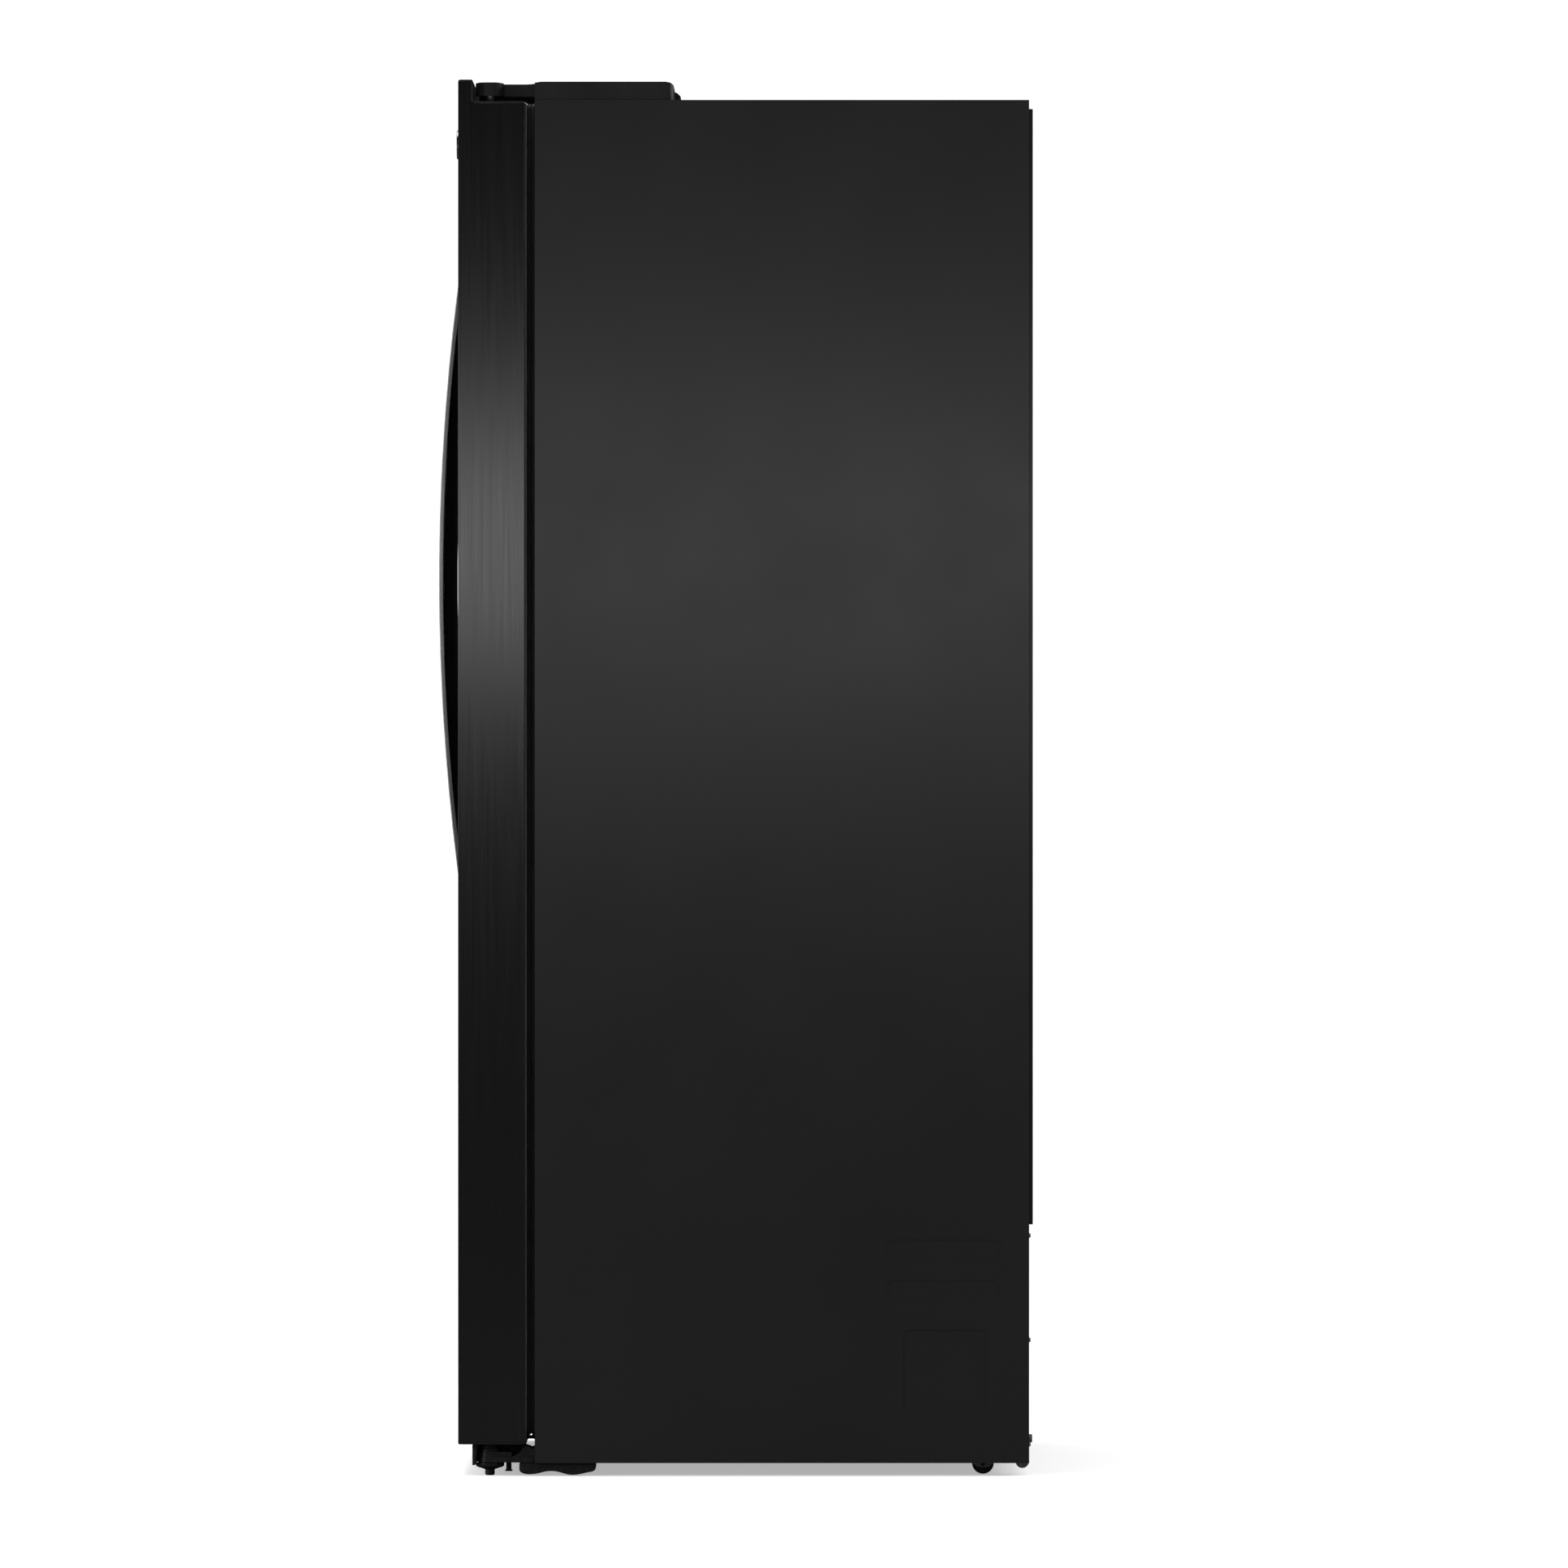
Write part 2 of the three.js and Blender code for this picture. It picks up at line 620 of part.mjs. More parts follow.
// Low cover over the wires that cross the case top between the two hinge covers.
function wireCover() {
  const side = outline([
    [-128, caseTop + gap], [-67.3, caseTop + gap], [-65, 1770], [-71, 1775.5], [-122, 1775.5],
    [-128, 1770],
  ]);
  const hollow = outline([
    [-125, 1750], [-71, 1750], [-69, 1769], [-73, 1773], [-120, 1773], [-125, 1768],
  ]);
  return cut(alongX(side, -327, 327), alongX(hollow, -324.5, 324.5));
}

// ---------------------------------------------------------------- inside the compartments
// A sheet-glass shelf with a plastic front trim and rear rail, as one assembly.
function shelf([x0, x1], z) {
  const left = x0 + gap;
  const right = x1 - gap;
  const glass = block(left, right, -130, cabinRear - 8, z, z + 4);
  const trim = block(left, right, -138, -128, z - 8, z + 10);
  const rail = block(left, right, cabinRear - 16, cabinRear - gap, z - 8, z + 14);
  return join(glass, trim, rail);
}

// An open drawer with a raised front.
function drawer([x0, x1], [z0, z1]) {
  const wall = 3;
  const front = -118;
  const rear = cabinRear - 20;
  const box = cut(
    block(x0, x1, front + 4, rear, z0, z1 - 14),
    block(x0 + wall, x1 - wall, front + 10, rear - wall, z0 + wall, z1),
  );
  const face = alongY(roundedRect(x0, z0, x1, z1, 8), front, front + 8);
  const pull = block((x0 + x1) / 2 - 60, (x0 + x1) / 2 + 60, front - 10, front + 1, z1 - 16, z1 - 8);
  return join(box, face, pull);
}

// ---------------------------------------------------------------- doors
// Each door is drawn for the right side, hinged at +X, and the left one is mirrored.

// The top of a door seen from the side, lowered by d: rounded front edge, lip, recess floor.
function topEdge(path, d, front, nose) {
  const lip = doorTop - d;
  const rear = lipRear - d;
  const floor = recessFloor - d;
  path.lineTo(front, lip - nose);
  path.quadraticCurveTo(front, lip, front + nose, lip);
  path.lineTo(rear - 3, lip);
  path.quadraticCurveTo(rear, lip, rear, lip - 3);
  path.lineTo(rear, floor + 5);
  path.quadraticCurveTo(rear, floor, rear + 5, floor);
  path.lineTo(doorRear, floor);
}

const rim = 2; // thickness of the plastic edge around the steel skin
const plugDepth = 22; // how far the caps reach inside the skin

function doorSkin(x0, x1, openings) {
  const side = new THREE.Shape();
  side.moveTo(doorFront, doorBottom + rim + gap);
  topEdge(side, rim + gap, doorFront, 0.2);
  side.lineTo(doorRear, doorBottom + rim + gap);
  const hollow = block(x0 + sheet, x1 - sheet, doorFront + sheet, 0, 0, doorTop + 20);
  return cut(alongX(side, x0, x1, 4), hollow, ...openings);
}

function doorTopCap(x0, x1) {
  const edge = new THREE.Shape();
  edge.moveTo(doorFront, recessFloor - plugDepth);
  topEdge(edge, 0, doorFront, 3);
  edge.lineTo(doorRear, recessFloor - plugDepth);
  const below = new THREE.Shape();
  below.moveTo(doorFront - 5, doorBottom);
  topEdge(below, rim, doorFront - 5, 0.2);
  below.lineTo(doorRear + 5, recessFloor - rim);
  below.lineTo(doorRear + 5, doorBottom);
  const inset = sheet + gap;
  const inside = block(
    x0 + inset, x1 - inset, doorFront + inset, doorRear, recessFloor - plugDepth, doorTop,
  );
  const rimStrip = cut(alongX(edge, x0, x1, 4), alongX(below, x0 - 5, x1 + 5, 4));
  const plug = common(alongX(edge, x0, x1, 4), inside);
  const endWall = block(x0, x0 + 3, lipRear - 1, doorRear, recessFloor - 1, coverArmBottom - 0.5);
  return cut(
    join(rimStrip, plug, endWall),
    upright(6.3, recessFloor - plugDepth + 4, doorTop + 5, axisX, axisY),
  );
}

function doorBottomCap(x0, x1) {
  const edge = new THREE.Shape();
  edge.moveTo(doorFront, doorBottom + rim);
  edge.quadraticCurveTo(doorFront, doorBottom, doorFront + rim, doorBottom);
  edge.lineTo(doorRear, doorBottom);
  edge.lineTo(doorRear, doorBottom + rim);
  const inset = sheet + gap;
  const plug = block(
    x0 + inset, x1 - inset, doorFront + inset, doorRear, doorBottom + 1, doorBottom + plugDepth + 2,
  );
  return cut(
    join(alongX(edge, x0, x1, 4), plug),
    upright(pinRadius + 0.5, doorBottom - 5, doorBottom + plugDepth, axisX, axisY),
  );
}

// Foamed filling between the skin, the caps and the inner panel.
function doorCore(x0, x1, openings) {
  const inset = sheet + gap;
  const filling = block(
    x0 + inset, x1 - inset, doorFront + inset, doorRear,
    doorBottom + plugDepth + 2 + gap, recessFloor - plugDepth - gap,
  );
  return cut(filling, ...openings);
}

const linerFace = doorRear + gap; // front of the inner door panel
const linerBack = linerFace + 2.2;
const dikeWall = 14;
const dikeRear = caseFront + 40;

// Inner door panel with the raised ring that carries the bins.
function doorLiner(x0, x1, dike, bins) {
  const plate = alongY(roundedRect(x0, doorBottom + 0.5, x1, recessFloor - 0.8, 4), linerFace, linerBack);
  const [dx0, dx1, dz0, dz1] = dike;
  const wall = ring(
    roundedRect(dx0, dz0, dx1, dz1, 18),
    roundedRect(dx0 + dikeWall, dz0 + dikeWall, dx1 - dikeWall, dz1 - dikeWall, 8),
  );
  const lugs = bins.flatMap(([z0]) => [
    block(dx0 + dikeWall - 1, dx0 + dikeWall + 5, linerBack + 8, dikeRear - 6, z0 - 12, z0 - 1),
    block(dx1 - dikeWall - 5, dx1 - dikeWall + 1, linerBack + 8, dikeRear - 6, z0 - 12, z0 - 1),
  ]);
  return join(plate, alongY(wall, linerBack - 0.5, dikeRear), ...lugs);
}

function doorGasket(x0, x1) {
  const outer = roundedRect(x0 + 3, 51, x1 - 28, recessFloor - 1, 6);
  const inner = roundedRect(x0 + 19, 71, x1 - 46, 1730, 4);
  return alongY(ring(outer, inner), linerBack + gap, caseFront - gap, 3);
}

// An open bin that hangs inside the ring of the inner door panel.
function doorBin(x0, x1, z0, z1, depth) {
  const wall = 2.5;
  const back = linerBack + 6;
  const rear = caseFront + depth;
  const outer = alongZ(roundedRect(x0, back, x1, rear, 14), z0, z1, 4);
  const inner = alongZ(roundedRect(x0 + wall, back + wall, x1 - wall, rear - wall, 12), z0 + wall, z1 + 5, 4);
  return cut(outer, inner);
}

// Arc of the bow at depth d behind its front, from z to z; y of the arc at height z.
const bowY = (d, z) =>
  handleFront + d + handleRadius - Math.sqrt(handleRadius ** 2 - (z - handleMidZ) ** 2);

function bowLine(shape, d, fromZ, toZ, steps) {
  for (let i = 0; i <= steps; i++) {
    const z = fromZ + ((toZ - fromZ) * i) / steps;
    shape.lineTo(Math.min(bowY(d, z), doorFront - gap), z);
  }
}

const handleEnds = [handleMidZ - handleHalf, handleMidZ + handleHalf];

// Height where the bow at depth d runs into the door's face.
const landing = (d) =>
  Math.sqrt(handleRadius ** 2 - (handleRadius - (doorFront - gap - handleFront - d)) ** 2);

function handleGrip(x) {
  const rest = doorFront - gap;
  const reach = landing(gripThickness);
  const shape = new THREE.Shape();
  shape.moveTo(rest, handleEnds[0] - 4);
  bowLine(shape, 0, handleEnds[0], handleEnds[1], 36);
  shape.lineTo(rest, handleEnds[1] + 4);
  bowLine(shape, gripThickness, handleMidZ + reach, handleMidZ - reach, 32);
  return alongX(shape, x, x + handleWidth);
}

// Web behind the grip, on the side towards the other door, with a stiffened rear edge.
function handleWeb(x) {
  const front = gripThickness + gap;
  const back = gripThickness + webDepth;
  const reach = landing(front) - 12;
  const foot = landing(back);
  const rest = doorFront - gap;
  const shape = new THREE.Shape();
  shape.moveTo(rest, handleMidZ - reach);
  bowLine(shape, front, handleMidZ - reach, handleMidZ + reach, 32);
  shape.lineTo(rest, handleMidZ + reach);
  bowLine(shape, back, handleMidZ + foot, handleMidZ - foot, 24);
  const edge = new THREE.Shape();
  const edgeDepth = 6;
  const near = landing(back - edgeDepth);
  edge.moveTo(rest, handleMidZ - near);
  bowLine(edge, back - edgeDepth, handleMidZ - near, handleMidZ + near, 24);
  edge.lineTo(rest, handleMidZ + near);
  bowLine(edge, back, handleMidZ + foot, handleMidZ - foot, 24);
  return join(alongX(shape, x, x + 5), alongX(edge, x + 2, x + 9));
}

function addDoor(side, width, dike, bins, binX, binDepth, openings = []) {
  const door = new THREE.Group();
  door.scale.x = side === "right" ? 1 : -1;
  fridge.add(door);
  const x0 = half - width;
  const x1 = half;
  const add = (name, geometry, material) => part(`${side}_${name}`, geometry, material, door);
  add("door_skin", doorSkin(x0, x1, openings), look.doorSteel);
  add("door_core", doorCore(x0, x1, openings), look.foam);
  add("door_top_cap", doorTopCap(x0, x1), look.blackPlastic);
  add("door_bottom_cap", doorBottomCap(x0, x1), look.blackPlastic);
  add("door_liner", doorLiner(x0, x1, dike, bins), look.linerPlastic);
  add("door_gasket", doorGasket(x0, x1), look.gasketRubber);
  add("handle_grip", handleGrip(x0 + handleInset), look.handleSteel);
  add("handle_web", handleWeb(x0 + handleInset), look.blackPlastic);
  bins.forEach(([z0, z1], i) => {
    add(`door_bin_${i + 1}`, doorBin(binX[0], binX[1], z0, z1, binDepth), look.clearPlastic);
  });
  return door;
}

// ---------------------------------------------------------------- dispenser in the left door
const bezelX = [128, 388];
const bezelZ = [905, 1415];
const nicheX = [158, 358];
const nicheZ = [945, 1215];
const nicheRear = -270;
const paddlePivot = [-300, 1172]; // y and z of the lever's axle

function dispenserHousing() {
  const wall = 2;
  const body = block(nicheX[0] - wall, nicheX[1] + wall, doorFront + gap, nicheRear, nicheZ[0] - wall, nicheZ[1] + wall + 120);
  const niche = alongY(
    roundedRect(nicheX[0], nicheZ[0], nicheX[1], nicheZ[1], 12),
    doorFront - 5, nicheRear - wall,
  );
  const controlRoom = block(nicheX[0], nicheX[1], doorFront - 5, nicheRear - wall, nicheZ[1] + wall + 3, nicheZ[1] + 118);
  const chute = turned(
    [[0, 1180], [20, 1180], [26, 1218], [0, 1218]],
    (nicheX[0] + nicheX[1]) / 2, -318, 20,
  );
  const pivotX = (nicheX[0] + nicheX[1]) / 2;
  const [pivotY, pivotZ] = paddlePivot;
  const ears = [-1, 1].map((s) =>
    block(pivotX + s * 30 - 3, pivotX + s * 30 + 3, pivotY - 4, nicheRear - 1, pivotZ + 3.4, pivotZ + 16),
  );
  return join(cut(body, niche, controlRoom), chute, ...ears);
}

// Black glass front around the niche, with the touch controls' area above it.
function dispenserPanel() {
  const face = ring(
    roundedRect(bezelX[0], bezelZ[0], bezelX[1], bezelZ[1], 10),
    roundedRect(nicheX[0], nicheZ[0], nicheX[1], nicheZ[1], 12),
  );
  return alongY(face, doorFront - gap - 3, doorFront - gap);
}

// Lever that a glass pushes back, hung below the chute.
function dispenserPaddle() {
  const x = (nicheX[0] + nicheX[1]) / 2;
  const [y, z] = paddlePivot;
  const bar = new THREE.CylinderGeometry(3, 3, 66, 12).rotateZ(Math.PI / 2).translate(x, y, z);
  const blade = alongY(roundedRect(x - 26, z - 104, x + 26, z + 2, 10), y - 4.5, y - 1.5);
  const rib = block(x - 5, x + 5, y - 3, y + 2, z - 60, z + 1);
  return join(bar, blade, rib);
}

// Drip tray with a slatted top, pulled out forwards.
function dripTray() {
  const tray = block(nicheX[0] + 10, nicheX[1] - 10, -344, nicheRear - 6, nicheZ[0] + gap, nicheZ[0] + 14);
  const slots = [];
  for (let i = 0; i < 9; i++) {
    const x = nicheX[0] + 22 + i * 18;
    slots.push(block(x, x + 10, -334, nicheRear - 14, nicheZ[0] + 8, nicheZ[0] + 20));
  }
  return cut(tray, ...slots);
}

// Plain round badge high on the right door.
function blankBadge() {
  const disc = new THREE.CylinderGeometry(18.5, 18.5, 2.4, 40);
  return disc.translate(half - 44, doorFront - gap - 1.2, 1703.5);
}

// ---------------------------------------------------------------- assembly
part("cabinet_wrapper", cabinetWrapper(), look.casePaint);
part("freezer_liner", liner(frozenX, frozenDrawerX, [freezerDrawerZ[0]]), look.linerPlastic);
part(
  "fresh_food_liner",
  liner(freshX, freshDrawerX, [crisperUpperZ[0], crisperLowerZ[0]]),
  look.linerPlastic,
);
part("insulation_foam", insulationFoam(), look.foam);
part("base_plate", basePlate(), look.zincSteel);
part("base_frame", baseFrame(), look.zincSteel);
part("rear_panel", rearPanel(), look.casePaint);
part("compressor_cover", compressorCover(), look.machinePaint);
part("compressor", compressor(), look.machinePaint);
part("condenser", condenser(), look.aluminium);
part("fan_shroud", fanShroud(), look.blackPlastic);
part("condenser_fan", condenserFan(), look.wheelPlastic);
part("water_valve", waterValve(), look.brass);
part("toe_grille", toeGrille(), look.blackPlastic);
part("wire_cover", wireCover(), look.blackPlastic);

pair("upper_hinge", upperHinge(), look.zincSteel);
pair("hinge_cover", hingeCover(), look.blackPlastic);
pair("lower_hinge", lowerHinge(), look.hingeSteel);
pair("leveling_leg", levelingLeg(), look.hingeSteel);
pair("roller_shield", rollerShield(), look.hingeSteel);
pair("rear_roller", rearRoller(), look.wheelPlastic);

[760, 1190].forEach((z, i) => part(`freezer_shelf_${i + 1}`, shelf(frozenX, z), look.shelfGlass));
[900, 1290].forEach((z, i) => part(`fresh_food_shelf_${i + 1}`, shelf(freshX, z), look.shelfGlass));
part("freezer_drawer", drawer(frozenDrawerX, freezerDrawerZ), look.clearPlastic);
part("crisper_drawer_upper", drawer(freshDrawerX, crisperUpperZ), look.clearPlastic);
part("crisper_drawer_lower", drawer(freshDrawerX, crisperLowerZ), look.clearPlastic);

const rightWidth = half - split - doorGap / 2;
const leftWidth = half + split - doorGap / 2;
addDoor(
  "right", rightWidth,
  [-20, 395, 128, 1684],
  [[190, 370], [700, 850], [1190, 1340]],
  [-2, 377], 104,
);
const nicheCut = block(
  nicheX[0] - 2 - gap, nicheX[1] + 2 + gap, doorFront - 5, nicheRear + gap,
  nicheZ[0] - 2 - gap, nicheZ[1] + 122 + gap,
);
const leftDoor = addDoor(
  "left", leftWidth,
  [100, 395, 128, 1684],
  [[190, 350], [560, 700]],
  [118, 377], 78,
  [nicheCut],
);
part("dispenser_housing", dispenserHousing(), look.blackPlastic, leftDoor);
part("dispenser_panel", dispenserPanel(), look.panelGlass, leftDoor);
part("dispenser_paddle", dispenserPaddle(), look.blackPlastic, leftDoor);
part("drip_tray", dripTray(), look.blackPlastic, leftDoor);
part("blank_badge", blankBadge(), look.handleSteel);

export default fridge;
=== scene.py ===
"""Looks of the side-by-side refrigerator: finer pieces, materials, light and camera around the CAD frame.

Metres, +Z up, doors towards -Y, and +X on the right of somebody who faces the doors.
"""

import json
import math

import bmesh
import bpy
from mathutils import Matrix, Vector


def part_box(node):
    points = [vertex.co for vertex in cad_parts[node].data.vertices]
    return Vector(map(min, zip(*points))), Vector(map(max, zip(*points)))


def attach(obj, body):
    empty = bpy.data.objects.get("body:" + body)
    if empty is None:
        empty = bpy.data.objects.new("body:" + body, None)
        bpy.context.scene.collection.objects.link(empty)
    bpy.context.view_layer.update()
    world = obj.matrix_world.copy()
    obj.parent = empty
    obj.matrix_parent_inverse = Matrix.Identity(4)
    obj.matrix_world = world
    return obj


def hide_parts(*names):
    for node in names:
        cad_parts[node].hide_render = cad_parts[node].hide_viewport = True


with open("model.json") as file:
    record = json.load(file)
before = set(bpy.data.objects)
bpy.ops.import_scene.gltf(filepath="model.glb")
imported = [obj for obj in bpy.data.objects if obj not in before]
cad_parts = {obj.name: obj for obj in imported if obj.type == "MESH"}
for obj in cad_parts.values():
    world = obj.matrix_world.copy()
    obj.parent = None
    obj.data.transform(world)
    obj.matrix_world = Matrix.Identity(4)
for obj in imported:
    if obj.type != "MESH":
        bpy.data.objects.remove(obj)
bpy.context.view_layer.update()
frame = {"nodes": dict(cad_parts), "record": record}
MM = 0.001
X, Y, Z = Vector((1, 0, 0)), Vector((0, 1, 0)), Vector((0, 0, 1))


# ---------------------------------------------------------------- camera
CAMERA_PLACE = (17.156, 0.0676, 0.8846)
QUARTER_TURN = math.pi / 2


def add_camera():
    """Square on to the right side from far away, as the object was seen."""
    data = bpy.data.cameras.new("camera")
    data.lens = 300
    data.sensor_width = 36
    camera = bpy.data.objects.new("camera", data)
    camera.location = CAMERA_PLACE
    camera.rotation_euler = (QUARTER_TURN, 0, QUARTER_TURN)
    bpy.context.scene.collection.objects.link(camera)
    bpy.context.scene.camera = camera


add_camera()


# ---------------------------------------------------------------- materials
class Surface:
    """A procedural material: a Principled shader fed by noise in the object's own metres."""

    def __init__(self, name, roughness, metallic=0.0, **sockets):
        self.material = bpy.data.materials.new(name)
        self.material.use_nodes = True
        self.tree = self.material.node_tree
        self.shader = self.tree.nodes["Principled BSDF"]
        self.shader.inputs["Roughness"].default_value = roughness
        self.shader.inputs["Metallic"].default_value = metallic
        for socket, value in sockets.items():
            self.shader.inputs[socket.replace("_", " ")].default_value = value
        self.place = self.node("ShaderNodeTexCoord").outputs["Object"]
        self.height = None

    def node(self, kind, **inputs):
        made = self.tree.nodes.new(kind)
        for socket, value in inputs.items():
            made.inputs[socket].default_value = value
        return made

    def link(self, output, target):
        self.tree.links.new(output, target)

    def noise(self, size, detail=2.0, stretch=(1, 1, 1)):
        """Noise whose blobs are about size metres across, drawn out by stretch along each axis."""
        mapping = self.node("ShaderNodeMapping")
        mapping.inputs["Scale"].default_value = [1 / (size * s) for s in stretch]
        self.link(self.place, mapping.inputs["Vector"])
        texture = self.node("ShaderNodeTexNoise", Scale=1.0, Detail=detail)
        self.link(mapping.outputs["Vector"], texture.inputs["Vector"])
        return texture.outputs["Fac"]

    def cells(self, size):
        """Small rounded cells, for moulded grain."""
        mapping = self.node("ShaderNodeMapping")
        mapping.inputs["Scale"].default_value = (1 / size,) * 3
        self.link(self.place, mapping.inputs["Vector"])
        texture = self.node("ShaderNodeTexVoronoi", Scale=1.0)
        self.link(mapping.outputs["Vector"], texture.inputs["Vector"])
        return texture.outputs["Distance"]

    def spread(self, value, low, high):
        """A 0 to 1 value spread over low to high."""
        spread = self.node("ShaderNodeMapRange")
        spread.inputs["From Min"].default_value = 0.3
        spread.inputs["From Max"].default_value = 0.7
        spread.inputs["To Min"].default_value = low
        spread.inputs["To Max"].default_value = high
        self.link(value, spread.inputs["Value"])
        return spread.outputs["Result"]

    def color(self, value, dark, light):
        ramp = self.node("ShaderNodeValToRGB")
        ramp.color_ramp.elements[0].position = 0.3
        ramp.color_ramp.elements[1].position = 0.7
        ramp.color_ramp.elements[0].color = (*dark, 1)
        ramp.color_ramp.elements[1].color = (*light, 1)
        self.link(value, ramp.inputs["Fac"])
        self.link(ramp.outputs["Color"], self.shader.inputs["Base Color"])
        return self

    def rough(self, value, low, high):
        self.link(self.spread(value, low, high), self.shader.inputs["Roughness"])
        return self

    def bump(self, value, depth, strength=1.0):
        """Relief depth metres deep, added to any relief put on before."""
        bump = self.node("ShaderNodeBump", Distance=depth, Strength=strength)
        self.link(value, bump.inputs["Height"])
        if self.height is not None:
            self.link(self.height, bump.inputs["Normal"])
        self.height = bump.outputs["Normal"]
        self.link(self.height, self.shader.inputs["Normal"])
        return self


def grey(value, warmth=0.0):
    return (value * (1 + warmth), value, value * (1 - warmth))


def case_paint():
    """Black baked paint over steel, with a faint orange-peel relief."""
    s = Surface("case_paint", 0.42, Specular_IOR_Level=0.9)
    s.color(s.noise(0.4, 3), grey(0.0125), grey(0.0145))
    s.rough(s.noise(0.12, 4), 0.29, 0.33)
    s.bump(s.noise(0.0016, 1), 0.00002, 0.3)
    return s.bump(s.noise(0.25, 1), 0.0004, 0.08).material


def door_steel():
    """Dark coated stainless with an upright brushed grain."""
    s = Surface("door_steel", 0.26, 1.0)
    grain = s.noise(0.0012, 3, stretch=(1, 1, 120))
    s.color(grain, grey(0.115, -0.01), grey(0.14, -0.01))
    s.rough(s.noise(0.0035, 3, stretch=(1, 1, 60)), 0.195, 0.235)
    s.bump(grain, 0.000006, 0.15)
    return s.bump(s.noise(0.5, 1), 0.0008, 0.1).material


def handle_steel():
    """Brighter brushed stainless, with the grain along the bar."""
    s = Surface("handle_steel", 0.25, 1.0)
    grain = s.noise(0.0012, 2, stretch=(1, 40, 120))
    s.color(grain, grey(0.29), grey(0.34))
    s.rough(s.noise(0.02, 3, stretch=(1, 1, 6)), 0.22, 0.3)
    return s.bump(grain, 0.000004, 0.2).material


def black_plastic():
    """Moulded black plastic with a fine leather-like grain."""
    s = Surface("black_plastic", 0.45)
    s.color(s.noise(0.05, 3), grey(0.009), grey(0.014))
    s.rough(s.noise(0.02, 4), 0.4, 0.52)
    return s.bump(s.cells(0.0009), 0.00004, 0.35).material


def matt_black():
    """Dull black plastic: small screws, and painted shade on the webs behind the grips, the plates behind air
    slats and the sheet behind the toe grille.
    """
    s = Surface("matt_black", 0.6, Specular_IOR_Level=0.12)
    s.color(s.noise(0.03, 3), grey(0.003), grey(0.006))
    s.rough(s.noise(0.02, 4), 0.5, 0.65)
    return s.bump(s.cells(0.0011), 0.00004, 0.35).material


def liner_plastic():
    """White vacuum-formed liner."""
    s = Surface("liner_plastic", 0.35, Subsurface_Weight=0.05)
    s.color(s.noise(0.3, 2), grey(0.78, 0.004), grey(0.83, 0.002))
    s.rough(s.noise(0.08, 3), 0.3, 0.4)
    return s.bump(s.noise(0.002, 1), 0.00003, 0.3).material


def clear_plastic():
    """Clear moulded bins and drawers with a cool tint."""
    s = Surface("clear_plastic", 0.1, Transmission_Weight=0.85, IOR=1.46)
    s.color(s.noise(0.1, 2), (0.8, 0.86, 0.9), (0.88, 0.92, 0.95))
    s.rough(s.noise(0.03, 3), 0.06, 0.16)
    return s.material


def shelf_glass():
    """Clear glass with a faint green tint."""
    s = Surface("shelf_glass", 0.03, Transmission_Weight=1.0, IOR=1.5)
    s.color(s.noise(0.2, 2), (0.8, 0.92, 0.89), (0.86, 0.95, 0.93))
    s.rough(s.noise(0.04, 3), 0.01, 0.05)
    return s.material


def gasket_rubber():
    """Soft black rubber of the door gaskets."""
    s = Surface("gasket_rubber", 0.55, Sheen_Weight=0.15)
    s.color(s.noise(0.02, 3), grey(0.016), grey(0.028))
    s.rough(s.noise(0.01, 3), 0.45, 0.62)
    return s.bump(s.noise(0.0007, 2), 0.00003, 0.4).material


def wheel_plastic():
    """Dark grey plastic of rollers, dials, spout and touch pads."""
    s = Surface("wheel_plastic", 0.6)
    s.color(s.noise(0.006, 4), grey(0.02), grey(0.035))
    s.rough(s.noise(0.003, 3), 0.5, 0.7)
    return s.bump(s.noise(0.0012, 3), 0.00008, 0.5).material


def zinc_steel():
    """Galvanised sheet with its spangle."""
    s = Surface("zinc_steel", 0.4, 1.0)
    s.color(s.cells(0.008), grey(0.42), grey(0.6))
    s.rough(s.noise(0.006, 3), 0.3, 0.48)
    return s.bump(s.noise(0.001, 2), 0.00003, 0.3).material


def hinge_steel():
    """Black painted steel, worn a little brighter in patches."""
    s = Surface("hinge_steel", 0.4, Specular_IOR_Level=0.45)
    s.color(s.noise(0.006, 5), grey(0.006), grey(0.016))
    s.rough(s.noise(0.003, 4), 0.3, 0.5)
    return s.bump(s.noise(0.0008, 2), 0.00004, 0.4).material


def machine_paint():
    """Black enamel of the machine compartment."""
    s = Surface("machine_paint", 0.35)
    s.color(s.noise(0.03, 4), grey(0.008), grey(0.016))
    s.rough(s.noise(0.01, 4), 0.28, 0.45)
    return s.bump(s.noise(0.002, 2), 0.00005, 0.35).material


def foam():
    """Yellow poured insulation with open cells."""
    s = Surface("foam", 0.95)
    s.color(s.cells(0.003), (0.55, 0.44, 0.2), (0.8, 0.7, 0.42))
    s.rough(s.noise(0.01, 2), 0.85, 0.98)
    return s.bump(s.cells(0.002), 0.0004, 0.6).material


def fin_aluminium():
    """Bright aluminium of the condenser's fins."""
    s = Surface("fin_aluminium", 0.35, 1.0)
    s.color(s.noise(0.01, 4), grey(0.5), grey(0.7))
    s.rough(s.noise(0.005, 4), 0.3, 0.5)
    return s.bump(s.noise(0.001, 2), 0.00004, 0.4).material


def valve_body():
    """Dark grey moulding of the water valve."""
    s = Surface("valve_body", 0.4)
    s.color(s.noise(0.01, 3), grey(0.11), grey(0.17))
    s.rough(s.noise(0.004, 3), 0.35, 0.5)
    return s.bump(s.noise(0.0008, 2), 0.00003, 0.4).material


def panel_black():
    """Glossy black front of the dispenser."""
    s = Surface("panel_black", 0.08, Coat_Weight=1.0, Coat_Roughness=0.03)
    s.color(s.noise(0.05, 2), grey(0.004), grey(0.006))
    s.rough(s.noise(0.03, 4), 0.06, 0.12)
    return s.bump(s.noise(0.2, 1), 0.0002, 0.1).material


